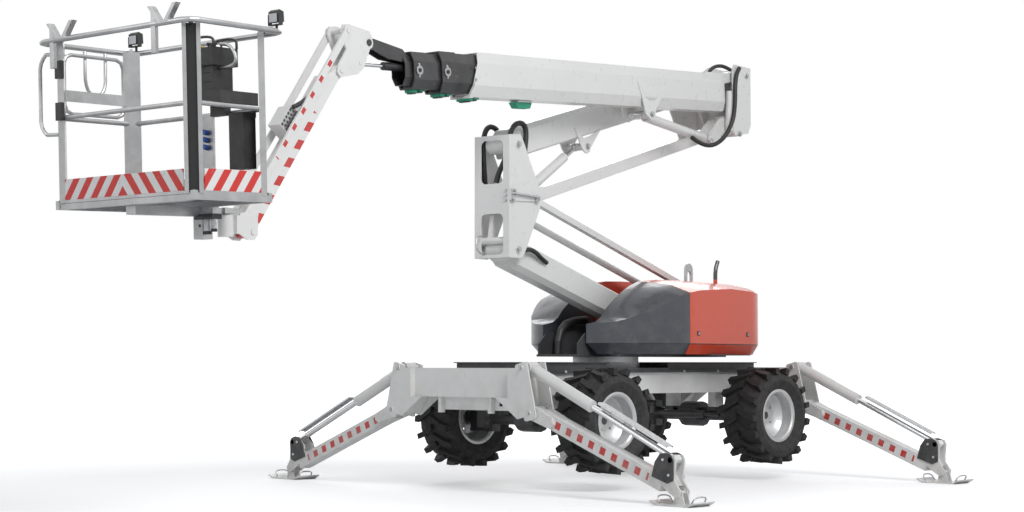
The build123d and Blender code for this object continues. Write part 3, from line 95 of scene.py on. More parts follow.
area_lamp("key", (3.0, 12.0, 11.0), (0, 0, 1.5), 7.0, 1300)
area_lamp("fill", (14.0, -2.0, 7.0), (0, 0, 1.5), 8.0, 230)
area_lamp("back", (-12.0, -9.0, 9.0), (0, 0, 2.0), 8.0, 360)
print("three lamps")

# %% World
scene = bpy.context.scene
scene.view_settings.view_transform = "Standard"
world = bpy.data.worlds.new("studio")
scene.world = world
world.use_nodes = True
sky = world.node_tree
sky.nodes.clear()


def background(colour, strength):
    node = sky.nodes.new("ShaderNodeBackground")
    node.inputs["Color"].default_value = (*colour, 1)
    node.inputs["Strength"].default_value = strength
    return node


calm = background((0.90, 0.93, 1.0), 0.30)
pale = background((1.0, 1.0, 1.0), 1.0)
paths = sky.nodes.new("ShaderNodeLightPath")
either = sky.nodes.new("ShaderNodeMath")
either.operation = "MAXIMUM"
seen = sky.nodes.new("ShaderNodeMath")
seen.operation = "MAXIMUM"
blend = sky.nodes.new("ShaderNodeMixShader")
world_output = sky.nodes.new("ShaderNodeOutputWorld")
sky.links.new(paths.outputs["Is Camera Ray"], either.inputs[0])
sky.links.new(paths.outputs["Is Transmission Ray"], either.inputs[1])
sky.links.new(either.outputs[0], seen.inputs[0])
sky.links.new(paths.outputs["Is Glossy Ray"], seen.inputs[1])
sky.links.new(seen.outputs[0], blend.inputs[0])
sky.links.new(calm.outputs[0], blend.inputs[1])
sky.links.new(pale.outputs[0], blend.inputs[2])
sky.links.new(blend.outputs[0], world_output.inputs["Surface"])
print("world", len(sky.nodes), "nodes")

# %% [markdown]
# ## A small shader language
# A finish is a short sum of noises, masks and colours. It reads best as an expression, so one class wraps a
# socket and overloads the operators, and each operator adds a Math node behind it.

# %% Sockets as numbers


class Sock:
    """A socket that adds Math nodes when it is used in an expression."""

    def __init__(self, tree, link):
        self.tree = tree
        self.link = link

    def math(self, operation, *values):
        return Shade(self.tree).add("ShaderNodeMath", {"operation": operation}, *values)

    def __add__(self, other):
        return self.math("ADD", self, other)

    def __radd__(self, other):
        return self.math("ADD", other, self)

    def __sub__(self, other):
        return self.math("SUBTRACT", self, other)

    def __rsub__(self, other):
        return self.math("SUBTRACT", other, self)

    def __mul__(self, other):
        return self.math("MULTIPLY", self, other)

    def __rmul__(self, other):
        return self.math("MULTIPLY", other, self)

    def __truediv__(self, other):
        return self.math("DIVIDE", self, other)

    def __abs__(self):
        return self.math("ABSOLUTE", self)

    def over(self, edge):
        return self.math("GREATER_THAN", self, edge)

    def under(self, edge):
        return self.math("LESS_THAN", self, edge)

    def fraction(self):
        return self.math("FRACT", self)

    def root(self):
        return self.math("SQRT", self)


class Shade:
    """Builds a material's nodes from values and sockets."""

    def __init__(self, tree):
        self.tree = tree

    def add(self, kind, settings=None, *values, **named):
        node = self.tree.nodes.new(kind)
        for key, value in (settings or {}).items():
            if key == "stops":
                ramp = node.color_ramp
                while len(ramp.elements) < len(value):
                    ramp.elements.new(0.5)
                for element, (place, colour) in zip(ramp.elements, value):
                    element.position = place
                    element.color = colour
            else:
                setattr(node, key, value)
        pairs = list(enumerate(values)) + [(key.replace("_", " "), value) for key, value in named.items()]
        for key, value in pairs:
            if isinstance(value, Sock):
                self.tree.links.new(value.link, node.inputs[key])
            elif value is not None:
                node.inputs[key].default_value = value
        return Sock(self.tree, node.outputs[0])

    def place(self):
        node = self.tree.nodes.new("ShaderNodeTexCoord")
        return Sock(self.tree, node.outputs["Object"])

    def stretched(self, turn, scale):
        """Object coordinates turned about Z and scaled, for a grain that runs one way."""
        return self.add("ShaderNodeMapping", {}, Vector=self.place(), Rotation=(0, 0, -turn), Scale=scale)

    def axes(self, where=None):
        node = self.tree.nodes.new("ShaderNodeSeparateXYZ")
        self.tree.links.new((where or self.place()).link, node.inputs[0])
        return [Sock(self.tree, socket) for socket in node.outputs]

    def facing(self):
        """The surface's own direction, as three numbers."""
        node = self.tree.nodes.new("ShaderNodeTexCoord")
        return self.axes(Sock(self.tree, node.outputs["Normal"]))

    def noise(self, scale, detail=3.0, rough=0.5, where=None):
        return self.add("ShaderNodeTexNoise", {}, Vector=where or self.place(), Scale=scale, Detail=detail,
                        Roughness=rough)

    def cells(self, scale, where=None):
        return self.add("ShaderNodeTexVoronoi", {}, Vector=where or self.place(), Scale=scale)

    def span(self, value, low, high, to_low=0.0, to_high=1.0):
        return self.add("ShaderNodeMapRange", {"clamp": True}, value, low, high, to_low, to_high)

    def mix(self, factor, first, second):
        node = self.tree.nodes.new("ShaderNodeMix")
        node.data_type = "RGBA"
        for key, value in ((0, factor), (6, first), (7, second)):
            if isinstance(value, Sock):
                self.tree.links.new(value.link, node.inputs[key])
            else:
                node.inputs[key].default_value = value
        return Sock(self.tree, node.outputs[2])

    def bump(self, height, strength, distance):
        return self.add("ShaderNodeBump", {}, Strength=strength, Distance=distance, Height=height)


def rgb(red, green, blue):
    return (red, green, blue, 1.0)


def material(name, colour, rough=0.5, metal=0.0, coat=0.0, paint=None):
    """Material of one surface; paint gets a Shade and returns the inputs that vary."""
    made = bpy.data.materials.new(name)
    made.use_nodes = True
    made.diffuse_color = colour
    shade = Shade(made.node_tree)
    surface = made.node_tree.nodes["Principled BSDF"]
    inputs = {"Base Color": colour, "Roughness": rough, "Metallic": metal, "Coat Weight": coat}
    if paint:
        inputs.update(paint(shade))
    for key, value in inputs.items():
        if isinstance(value, Sock):
            made.node_tree.links.new(value.link, surface.inputs[key])
        else:
            surface.inputs[key].default_value = value
    return made


# %% [markdown]
# ## The slewed frame
# Everything above the slewing ring is turned 7.5 degrees to the left, so pieces up there are laid out in their
# own directions: u forwards along the boom, w to its left and z up. A shader needs the same three numbers.

# %% Slewed directions
chassis_x = -2.109
slew_x = chassis_x + 0.128
slew_turn = radians(7.5)
fore = Vector((cos(slew_turn), sin(slew_turn), 0))
across = Vector((-sin(slew_turn), cos(slew_turn), 0))
upward = Vector((0, 0, 1))
slew_centre = Vector((slew_x, 0, 0))


def spot(u, w, z):
    """Point in the slewed frame, in metres."""
    return slew_centre + fore * u + across * w + upward * z


def slewed(shade):
    """The same u, w and z at each point of a surface."""
    x, y, z = shade.axes()
    ahead = x - slew_x
    return ahead * cos(slew_turn) + y * sin(slew_turn), y * cos(slew_turn) - ahead * sin(slew_turn), z


boom_w = 0.34
boom_pitch = radians(4.6)
boom_height = 3.584
basket_lean = radians(2.4)
basket_fore = fore * cos(basket_lean) - upward * sin(basket_lean)
basket_up = fore * sin(basket_lean) + upward * cos(basket_lean)
basket_origin = spot(5.672, 0.315, 2.146)
basket_half_depth = 0.353
basket_half_width = 0.675


def on_boom(s, t=0.0, w=0.0):
    """Point s forwards along the telescopic boom, t above its centre line and w left of it."""
    return spot(s * cos(boom_pitch) + t * sin(boom_pitch), boom_w + w,
                boom_height - s * sin(boom_pitch) + t * cos(boom_pitch))


def in_basket(a, b, h):
    """Point in the basket: a forwards, b to its left, h above its floor's underside."""
    return basket_origin + basket_fore * a + across * b + basket_up * h


def basket_axes(shade):
    """a, b and h at each point of a surface."""
    u, w, z = slewed(shade)
    du, dz = u - 5.672, z - 2.146
    return (du * cos(basket_lean) - dz * sin(basket_lean), w - 0.315,
            du * sin(basket_lean) + dz * cos(basket_lean))


print("basket floor at", [round(v, 3) for v in basket_origin])

# %% [markdown]
# ## Finishes
# The arms, the legs and the chassis are sprayed white over steel. Spray paint is never quite flat: it has a
# fine orange peel, its tone drifts a little, and road dust clings low down where the wheels throw it.

# %% White paint
peel_scale = 260.0


def road_dust(shade, top=1.2):
    """Mask from 0 to 1 that grows towards the ground, broken up by noise."""
    height = shade.axes()[2]
    return shade.span(height, top, 0.15) * shade.span(shade.noise(6.0, 5.0, 0.6), 0.42, 0.70)


def sprayed(shade, colour, dust_colour, dust=0.45, rough=0.30):
    """Inputs of a sprayed coat on steel in one colour or a socket of colours."""
    drift = shade.span(shade.noise(1.7, 2.0), 0.3, 0.7, 0.0, 0.12)
    dusty = road_dust(shade) * dust
    tone = shade.mix(drift, colour, rgb(0.52, 0.52, 0.50))
    height = shade.noise(peel_scale, 1.0) + shade.noise(38.0, 2.0) * 0.5
    return {"Base Color": shade.mix(dusty, tone, dust_colour),
            "Roughness": shade.span(shade.noise(14.0, 4.0), 0.2, 0.8, rough - 0.07, rough + 0.09) + dusty * 0.3,
            "Normal": shade.bump(height, 0.10, 0.0008)}


paint_white = rgb(0.76, 0.76, 0.745)
signal_red = rgb(0.55, 0.022, 0.018)
dust_brown = rgb(0.36, 0.33, 0.29)

white_paint = material("white_paint", paint_white, coat=0.25,
                       paint=lambda shade: sprayed(shade, paint_white, dust_brown))
print("white paint", len(white_paint.node_tree.nodes), "nodes")

# %% [markdown]
# ## Red marks on the white paint
# Road rules ask for red and white marks. On each leg they are a row of red squares along its flat side, and the
# jib carries them too. A mask along the leg's own line draws them, so one finish serves all four legs.

# %% Red squares on the legs
leg_pin = (0.836, 0.674)
leg_end = (2.329, 0.100)
leg_angle = atan2(leg_end[1] - leg_pin[1], leg_end[0] - leg_pin[0])
leg_square_pitch = 0.128


def leg_marks(shade):
    x, y, z = shade.axes()
    out, rise = abs(y) - leg_pin[0], z - leg_pin[1]
    run = out * cos(leg_angle) + rise * sin(leg_angle)
    side = rise * cos(leg_angle) - out * sin(leg_angle)
    flat = abs(shade.facing()[0]).over(0.9)
    row = (run / leg_square_pitch).fraction().under(0.46) * run.over(0.24) * run.under(1.30)
    return sprayed(shade, shade.mix(flat * row * abs(side).under(0.030), paint_white, signal_red), dust_brown)


leg_paint = material("leg_paint", paint_white, coat=0.25, paint=leg_marks)

# %% Red marks on the jib
jib_top = (4.041, 3.218)
jib_foot = (4.936, 1.981)
jib_angle = atan2(jib_foot[1] - jib_top[1], jib_foot[0] - jib_top[0])
link_top = (3.999, 3.519)


def along_jib(shade, start):
    """How far down the jib a point lies, and how far to its outer side."""
    u, w, z = slewed(shade)
    du, dz = u - start[0], z - start[1]
    return du * cos(jib_angle) + dz * sin(jib_angle), dz * cos(jib_angle) - du * sin(jib_angle), w - boom_w


def jib_marks(shade):
    run, side, w = along_jib(shade, jib_top)
    slanted = ((run - side * 0.6) / 0.17).fraction().under(0.5)
    edge = side.under(0.028) * run.over(0.42)
    return sprayed(shade, shade.mix(slanted * edge, paint_white, signal_red), dust_brown)


def link_marks(shade):
    run, side, w = along_jib(shade, link_top)
    row = (run / 0.155).fraction().under(0.33) * run.over(0.30) * run.under(1.25)
    marks = row * abs(side).under(0.017) * w.over(0.05)
    return sprayed(shade, shade.mix(marks, paint_white, signal_red), dust_brown)


jib_paint = material("jib_paint", paint_white, coat=0.25, paint=jib_marks)
link_paint = material("link_paint", paint_white, coat=0.25, paint=link_marks)
print("marked paints made")

# %% [markdown]
# ## Moulded covers
# The covers are gel-coated mouldings, dark grey beside the arm and red behind. Gel coat is glossy and slightly
# wavy, so its reflections bend; a clear coat over a smooth base gives that. The shadow under the moulded step
# round the bottom is painted shade: a thin dark line, which is a mask on the height.

# %% Grey and red covers
cover_seam = 1.250


def moulded(shade, colour):
    x, y, z = shade.axes()
    # Painted shade: a thin dark line at the moulded step's height, where the step's shadow falls on the cover.
    line = abs(z - cover_seam).under(0.004)
    waves = shade.noise(3.2, 2.0) + shade.noise(40.0, 2.0) * 0.05
    dusty = shade.span(z, 1.75, 1.15) * shade.span(shade.noise(9.0, 5.0, 0.6), 0.45, 0.75) * 0.18
    shade_lined = shade.mix(line, colour, rgb(0.01, 0.01, 0.012))
    return {"Base Color": shade.mix(dusty, shade_lined, rgb(0.30, 0.28, 0.26)),
            "Roughness": shade.span(shade.noise(22.0, 4.0), 0.2, 0.8, 0.26, 0.40) + dusty,
            "Normal": shade.bump(waves, 0.12, 0.01)}


cover_grey = rgb(0.048, 0.054, 0.066)
cover_red = rgb(0.66, 0.065, 0.022)
grey_gloss = material("grey_gloss", cover_grey, coat=0.35, paint=lambda shade: moulded(shade, cover_grey))
red_gloss = material("red_gloss", cover_red, coat=0.35, paint=lambda shade: moulded(shade, cover_red))
print("covers made")

# %% Dark and black paint


def dark_coat(shade, colour, rough):
    drift = shade.span(shade.noise(4.0, 4.0), 0.3, 0.7)
    scuffs = shade.span(shade.noise(30.0, 6.0, 0.7, shade.stretched(slew_turn, (0.08, 1.0, 1.0))), 0.60, 0.72)
    return {"Base Color": shade.mix(scuffs * 0.35 + road_dust(shade) * 0.35, shade.mix(drift * 0.4, colour,
                                    rgb(0.10, 0.10, 0.105)), rgb(0.22, 0.21, 0.20)),
            "Roughness": shade.span(shade.noise(18.0, 4.0), 0.2, 0.8, rough - 0.08, rough + 0.12),
            "Normal": shade.bump(shade.noise(peel_scale, 1.0), 0.12, 0.0008)}


dark_colour = rgb(0.040, 0.041, 0.045)
black_colour = rgb(0.013, 0.013, 0.014)
dark_grey = material("dark_grey", dark_colour, paint=lambda shade: dark_coat(shade, dark_colour, 0.42))
black_paint = material("black_paint", black_colour, coat=0.2,
                       paint=lambda shade: dark_coat(shade, black_colour, 0.36))

# %% [markdown]
# ## Metals
# Rods are chromed and wiped by their seals, so their scratches run along them. Small steel fittings are
# galvanised, which grows flat crystals of zinc. The basket is bare aluminium with a drawn grain.

# %% Chrome, zinc and alloy


def wiped(shade):
    lines = shade.noise(90.0, 4.0, 0.7, shade.add("ShaderNodeMapping", {}, Vector=shade.place(),
                                                  Scale=(0.15, 0.15, 1.0)))
    film = shade.span(shade.noise(5.0, 3.0), 0.45, 0.7)
    return {"Base Color": shade.mix(film * 0.3, rgb(0.78, 0.79, 0.80), rgb(0.50, 0.48, 0.45)),
            "Roughness": shade.span(lines, 0.3, 0.8, 0.08, 0.20) + film * 0.10}


def galvanised(shade):
    crystals = shade.cells(48.0)
    spread = shade.span(crystals, 0.1, 0.7)
    return {"Base Color": shade.mix(spread, rgb(0.40, 0.41, 0.42), rgb(0.58, 0.59, 0.60)),
            "Roughness": shade.span(crystals, 0.1, 0.7, 0.34, 0.52) + road_dust(shade) * 0.2,
            "Normal": shade.bump(shade.noise(120.0, 3.0), 0.10, 0.001)}


def drawn_alloy(shade):
    grain = shade.noise(60.0, 5.0, 0.7, shade.stretched(slew_turn, (0.10, 1.0, 0.35)))
    smears = shade.span(shade.noise(7.0, 5.0, 0.6), 0.35, 0.75)
    return {"Base Color": shade.mix(smears * 0.6, rgb(0.50, 0.505, 0.51), rgb(0.27, 0.27, 0.27)),
            "Roughness": shade.span(grain, 0.3, 0.7, 0.26, 0.42) + smears * 0.08,
            "Normal": shade.bump(grain, 0.06, 0.001)}


def posts_and_rails(shade):
    """Basket alloy, with painted shade in black in the outward grooves of the four corner posts."""
    inputs = drawn_alloy(shade)
    a, b, h = basket_axes(shade)
    ahead, aside = abs(a) - (basket_half_depth - 0.045), abs(b) - (basket_half_width - 0.045)
    groove = abs(ahead - aside).under(0.046) * (ahead + aside).over(-0.015) * (ahead + aside).under(0.040)
    deck = abs(h - 0.030).under(0.002) * abs(a).under(0.30) * abs(b).under(0.62)
    tread = ((a / 0.028).fraction() - 0.5) * ((b / 0.028).fraction() - 0.5)
    # Painted shade: the outward grooves of the corner posts are coloured black and made non-metallic.
    black = groove * h.over(0.01)
    inputs["Base Color"] = shade.mix(black, inputs["Base Color"], rgb(0.014, 0.014, 0.015))
    inputs["Metallic"] = 1.0 - black
    inputs["Normal"] = shade.bump(abs(tread) * deck * 6.0, 0.5, 0.003)
    return inputs


chrome = material("chrome", rgb(0.78, 0.79, 0.80), 0.12, 1.0, paint=wiped)
zinc = material("zinc", rgb(0.5, 0.5, 0.51), 0.42, 1.0, paint=galvanised)
alloy = material("alloy", rgb(0.66, 0.665, 0.67), 0.34, 1.0, paint=drawn_alloy)
basket_finish = material("basket_finish", rgb(0.66, 0.665, 0.67), 0.34, 1.0, paint=posts_and_rails)
print("metals made")

# %% [markdown]
# ## Striped kick plates
# The plates round the basket's floor are banded red and white. The bands lean one way on each half of the long
# side and meet in a chevron, so the slanted coordinate uses the distance from the middle.

# %% Kick plate bands


def banded(shade):
    a, b, h = basket_axes(shade)
    long_side = abs(a).over(basket_half_depth - 0.03)
    across_plate = abs(b) * long_side + a * (1.0 - long_side)
    band = ((across_plate + h * 0.75) / 0.135).fraction().under(0.5)
    worn = shade.span(shade.noise(35.0, 6.0, 0.7), 0.62, 0.70)
    colour = shade.mix(band, rgb(0.74, 0.74, 0.73), rgb(0.60, 0.035, 0.028))
    return {"Base Color": shade.mix(worn * 0.6, colour, rgb(0.45, 0.44, 0.43)),
            "Roughness": shade.span(shade.noise(20.0, 4.0), 0.2, 0.8, 0.32, 0.5)}


kick_bands = material("kick_bands", rgb(0.7, 0.7, 0.7), paint=banded)

# %% [markdown]
# ## Rubber, wheels and plastic
# A tyre is matt, with fine rings moulded in its sidewall and dust between its lugs. The rings need the distance
# from the axle, so the finish folds both axles onto one with the sign of x.

# %% Tyres and rims
axle_height = 0.591
axle_ahead = 1.103
axle_behind = 1.158
tyre_outer = 0.4405


def from_axle(shade):
    """Distance from the nearest axle's line."""
    x, y, z = shade.axes()
    ahead = x - chassis_x
    is_front = ahead.over(0.0)
    run = ahead - is_front * axle_ahead + (1.0 - is_front) * axle_behind
    rise = z - axle_height
    return (run * run + rise * rise).root()


def tyre_side(shade):
    radius = from_axle(shade)
    rings = ((radius - 0.25) / 0.012).fraction().under(0.35) * radius.over(0.262) * radius.under(0.330)
    dusty = shade.span(radius, tyre_outer, 0.40) * shade.span(shade.noise(16.0, 6.0, 0.7), 0.35, 0.7)
    return {"Base Color": shade.mix(dusty * 0.55, rgb(0.010, 0.010, 0.0105), rgb(0.060, 0.057, 0.053)),
            "Roughness": shade.span(shade.noise(45.0, 5.0), 0.2, 0.8, 0.55, 0.78),
            "Normal": shade.bump(rings * 0.6 + shade.noise(150.0, 3.0) * 0.2, 0.4, 0.002)}


def rim_coat(shade):
    radius = from_axle(shade)
    grime = shade.span(shade.noise(12.0, 6.0, 0.65), 0.4, 0.75) * shade.span(radius, 0.06, 0.22, 0.7, 0.35)
    return {"Base Color": shade.mix(grime, rgb(0.62, 0.625, 0.63), rgb(0.34, 0.33, 0.31)),
            "Roughness": shade.span(shade.noise(25.0, 4.0), 0.2, 0.8, 0.28, 0.46) + grime * 0.2,
            "Normal": shade.bump(shade.noise(peel_scale, 1.0), 0.08, 0.0008)}


tyre_rubber = material("tyre_rubber", rgb(0.018, 0.018, 0.018), 0.7, paint=tyre_side)
wheel_silver = material("wheel_silver", rgb(0.5, 0.505, 0.51), 0.35, 0.55, paint=rim_coat)

# %% Iron, plastics and lenses


def rough_iron(shade):
    return {"Base Color": shade.mix(shade.noise(9.0, 5.0), rgb(0.05, 0.05, 0.05), rgb(0.11, 0.10, 0.09)),
            "Roughness": shade.span(shade.noise(30.0, 4.0), 0.2, 0.8, 0.55, 0.8),
            "Normal": shade.bump(shade.noise(90.0, 4.0), 0.4, 0.002)}


def grained(shade, colour, pale_colour, rough=0.45):
    """Moulded plastic or rubber with a fine pebbled grain."""
    grain = shade.cells(420.0)
    return {"Base Color": shade.mix(shade.span(shade.noise(8.0, 5.0), 0.35, 0.75) * 0.5, colour, pale_colour),
            "Roughness": shade.span(shade.noise(20.0, 4.0), 0.2, 0.8, rough - 0.06, rough + 0.12),
            "Normal": shade.bump(grain, 0.15, 0.0006)}


def plastic(name, colour, pale_colour, rough=0.45):
    return material(name, colour, rough, paint=lambda shade: grained(shade, colour, pale_colour, rough))


def hood_and_pipe(shade):
    """Red gel coat, with the exhaust above the roof in dark steel."""
    inputs = moulded(shade, cover_red)
    u, w, z = slewed(shade)
    pipe = z.over(1.872) * abs(w - 0.446).under(0.03)
    inputs["Base Color"] = shade.mix(pipe, inputs["Base Color"], rgb(0.045, 0.042, 0.04))
    return inputs


def frame_and_eye(shade):
    """Dark paint on the turret, with the lifting eye left in galvanised steel."""
    inputs = dark_coat(shade, dark_colour, 0.42)
    eye = shade.axes()[2].over(1.80)
    inputs["Base Color"] = shade.mix(eye, inputs["Base Color"], rgb(0.50, 0.51, 0.52))
    inputs["Metallic"] = eye * 0.8
    return inputs


hood_finish = material("hood_finish", cover_red, coat=0.35, paint=hood_and_pipe)
turret_finish = material("turret_finish", dark_colour, paint=frame_and_eye)
cast_iron = material("cast_iron", rgb(0.07, 0.07, 0.07), 0.7, paint=rough_iron)
black_plastic = plastic("black_plastic", rgb(0.016, 0.016, 0.017), rgb(0.06, 0.06, 0.06))
hose_rubber = plastic("hose_rubber", rgb(0.012, 0.012, 0.012), rgb(0.05, 0.05, 0.05), 0.5)
green_pad = plastic("green_pad", rgb(0.01, 0.30, 0.17), rgb(0.05, 0.34, 0.22), 0.4)
yellow_plastic = plastic("yellow_plastic", rgb(0.72, 0.44, 0.02), rgb(0.60, 0.42, 0.12), 0.4)
red_plastic = plastic("red_plastic", rgb(0.58, 0.02, 0.015), rgb(0.5, 0.1, 0.08), 0.35)
blue_plastic = plastic("blue_plastic", rgb(0.02, 0.10, 0.42), rgb(0.08, 0.16, 0.40), 0.4)
grey_plastic = plastic("grey_plastic", rgb(0.30, 0.31, 0.32), rgb(0.40, 0.40, 0.40), 0.42)
lamp_lens = plastic("lamp_lens", rgb(0.55, 0.57, 0.60), rgb(0.75, 0.77, 0.80), 0.15)


def pale_floor(shade):
    """Off-white near the machine that brightens with distance, so that no horizon shows."""
    x, y, z = shade.axes()
    away = shade.span((x * x + y * y).root(), 4.0, 14.0)
    return {"Base Color": shade.mix(away, rgb(0.86, 0.865, 0.87), rgb(1.0, 1.0, 1.0)),
            "Emission Color": shade.mix(away, rgb(0.34, 0.34, 0.34), rgb(0.95, 0.95, 0.95))}


floor_finish = material("pale_floor", rgb(0.86, 0.865, 0.87), 0.65, paint=pale_floor)
floor_tree = floor_finish.node_tree
floor_paths = floor_tree.nodes.new("ShaderNodeLightPath")
floor_surface = floor_tree.nodes["Principled BSDF"]
floor_tree.links.new(floor_paths.outputs["Is Camera Ray"], floor_surface.inputs["Emission Strength"])
print("plastics made")

# %% [markdown]
# ## Smooth shading on moulded forms
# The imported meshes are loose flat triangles, so a round moulding looks faceted. One Geometry Nodes tree joins
# the triangles' corners and shades them smooth, and keeps each edge that bends more than a set angle crisp.

# %% Smoothing tree
smooth_tree = bpy.data.node_groups.new("smooth_forms", "GeometryNodeTree")
smooth_tree.interface.new_socket("Geometry", in_out="INPUT", socket_type="NodeSocketGeometry")
crisp_socket = smooth_tree.interface.new_socket("Crisp angle", in_out="INPUT", socket_type="NodeSocketFloat")
angle_input = crisp_socket.identifier
smooth_tree.interface.new_socket("Geometry", in_out="OUTPUT", socket_type="NodeSocketGeometry")
smooth_nodes = [smooth_tree.nodes.new(kind) for kind in
                ("NodeGroupInput", "GeometryNodeMergeByDistance", "GeometryNodeSetShadeSmooth",
                 "GeometryNodeSetShadeSmooth", "GeometryNodeInputMeshEdgeAngle", "FunctionNodeCompare",
                 "NodeGroupOutput")]
given_mesh, merged, all_smooth, crisp, edge_angle, sharper, smoothed = smooth_nodes
merged.inputs["Distance"].default_value = 0.00005
crisp.domain = "EDGE"
crisp.inputs["Shade Smooth"].default_value = False
sharper.operation = "GREATER_THAN"
for source, target in (
        (given_mesh.outputs[0], merged.inputs["Geometry"]),
        (merged.outputs[0], all_smooth.inputs[0]),
        (all_smooth.outputs[0], crisp.inputs[0]),
        (edge_angle.outputs[0], sharper.inputs[0]),
        (given_mesh.outputs[1], sharper.inputs[1]),
        (sharper.outputs[0], crisp.inputs["Selection"]),
        (crisp.outputs[0], smoothed.inputs[0])):
    smooth_tree.links.new(source, target)

crisp_angle = {"side_covers": 20.0, "rear_hood": 24.0, "basket_frame": 34.0, "turret_frame": 34.0}
crisp_angle.update({name: 34.0 for name in nodes if name.startswith(("rim_", "tyre_", "outrigger_"))})
for name, degrees in crisp_angle.items():
    smoothing = nodes[name].modifiers.new("smooth_forms", "NODES")
    smoothing.node_group = smooth_tree
    smoothing[angle_input] = radians(degrees)
print("smoothed", len(crisp_angle), "nodes")

# %% [markdown]
# ## Dress the CAD nodes
# Each node of the record names a slot, and each slot has one finish. A few nodes carry marks of their own.

# %% Finish of every node
finish_of_slot = {
    "white_paint": white_paint, "grey_covers": grey_gloss, "red_covers": red_gloss, "dark_covers": dark_grey,
    "black_paint": black_paint, "chrome": chrome, "bare_steel": zinc, "basket_alloy": alloy,
    "wheel_silver": wheel_silver, "tyre_rubber": tyre_rubber, "engine_iron": cast_iron,
    "black_plastic": black_plastic,
}
finish_of_node = {"jib": jib_paint, "jib_links": link_paint, "kick_plates": kick_bands,
                  "basket_frame": basket_finish, "rear_hood": hood_finish, "turret_frame": turret_finish}
for part in frame["record"]["subparts"]:
    name = part["node"]
    mesh = nodes[name].data
    mesh.materials.clear()
    marked = leg_paint if name.startswith("outrigger_leg") else None
    mesh.materials.append(marked or finish_of_node.get(name) or finish_of_slot[part["material_slot"]])
print(len(nodes), "nodes dressed")

# %% Floor
bpy.ops.mesh.primitive_plane_add(size=160)
floor = bpy.context.object
floor.name = "floor"
floor.data.materials.append(floor_finish)

# %% [markdown]
# ## Bolted-on pieces
# Small fittings are cut from plate and bar. A real one is bent, sawn and welded, so a class builds each from
# skins over rings of points: a plate is two outlines, a bar is a row of circles. Its edges get a fine bevel,
# because a machined edge that catches no light looks like paper.

# %% Plate and bar


class Stock:
    """Plate and bar joined in one mesh, each with the number of its finish."""

    def __init__(self):
        self.mesh = bmesh.new()

    def skin(self, rings, finish=0, round_side=False):
        rows = [[self.mesh.verts.new(point) for point in ring] for ring in rings]
        count = len(rows[0])
        for near, far in zip(rows, rows[1:]):
            for i in range(count):
                face = self.mesh.faces.new((near[i], near[(i + 1) % count], far[(i + 1) % count], far[i]))
                face.material_index = finish
                face.smooth = round_side
        for row in (rows[0][::-1], rows[-1]):
            self.mesh.faces.new(row).material_index = finish

    def plate(self, outline, place, near, far, finish=0):
        """Plate of an outline of pairs; place(x, y, depth) puts a point of it."""
        self.skin([[place(x, y, depth) for x, y in outline] for depth in (near, far)], finish)

    def block(self, place, x, y, depth, finish=0):
        """Block between pairs of limits."""
        outline = [(x[0], y[0]), (x[1], y[0]), (x[1], y[1]), (x[0], y[1])]
        self.plate(outline, place, depth[0], depth[1], finish)

    def bar(self, points, radius, finish=0, sides=14):
        """Round bar through points."""
        points = [Vector(p) for p in points]
        aside = (points[1] - points[0]).orthogonal().normalized()
        rings = []
        for i, point in enumerate(points):
            run = (points[min(i + 1, len(points) - 1)] - points[max(i - 1, 0)]).normalized()
            aside = (aside - run * aside.dot(run)).normalized()
            over = run.cross(aside)
            rings.append([point + (aside * cos(tau * k / sides) + over * sin(tau * k / sides)) * radius
                          for k in range(sides)])
        self.skin(rings, finish, True)

    def make(self, name, body, finishes, bevel=0.0, slot_name=None):
        bmesh.ops.recalc_face_normals(self.mesh, faces=self.mesh.faces)
        data = bpy.data.meshes.new(name)
        self.mesh.to_mesh(data)
        self.mesh.free()
        for finish in finishes:
            data.materials.append(finish)
        made = bpy.data.objects.new(name, data)
        bpy.context.scene.collection.objects.link(made)
        if bevel:
            edge = made.modifiers.new("bevel", "BEVEL")
            edge.width = bevel
            edge.segments = 2
            edge.limit_method = "ANGLE"
            edge.angle_limit = radians(40)
        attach(made, body)
        return made


def bent(points, steps=6):
    """Points of a bar bent smoothly past the given ones."""
    path = [Vector(points[0])]
    for before, here, after in zip(points, points[1:], points[2:]):
        start = (Vector(before) + Vector(here)) / 2
        end = (Vector(here) + Vector(after)) / 2
        for k in range(1, steps + 1):
            t = k / steps
            path.append(start.lerp(Vector(here), t).lerp(Vector(here).lerp(end, t), t))
    return path + [Vector(points[-1])]


print("stock ready")

# %% [markdown]
# ## Bolt heads
# The machine is held together by a few hundred bolts and pins, and all of them look alike. One Geometry Nodes
# tree makes them: it takes bare points, each with a direction, and puts a washer and a six-sided head on each.

# %% Bolt tree
bolt_tree = bpy.data.node_groups.new("bolt_heads", "GeometryNodeTree")
bolt_tree.interface.new_socket("Geometry", in_out="INPUT", socket_type="NodeSocketGeometry")
bolt_inputs = {}
for label, kind in (("Head radius", "NodeSocketFloat"), ("Head height", "NodeSocketFloat"),
                    ("Finish", "NodeSocketMaterial")):
    bolt_inputs[label] = bolt_tree.interface.new_socket(label, in_out="INPUT", socket_type=kind).identifier
bolt_tree.interface.new_socket("Geometry", in_out="OUTPUT", socket_type="NodeSocketGeometry")


def bolt_node(kind, settings=None, **links):
    node = bolt_tree.nodes.new(kind)
    for key, value in (settings or {}).items():
        setattr(node, key, value)
    for key, value in links.items():
        socket = node.inputs[key.replace("_", " ")]
        if isinstance(value, bpy.types.NodeSocket):
            bolt_tree.links.new(value, socket)
        else:
            socket.default_value = value
    return node


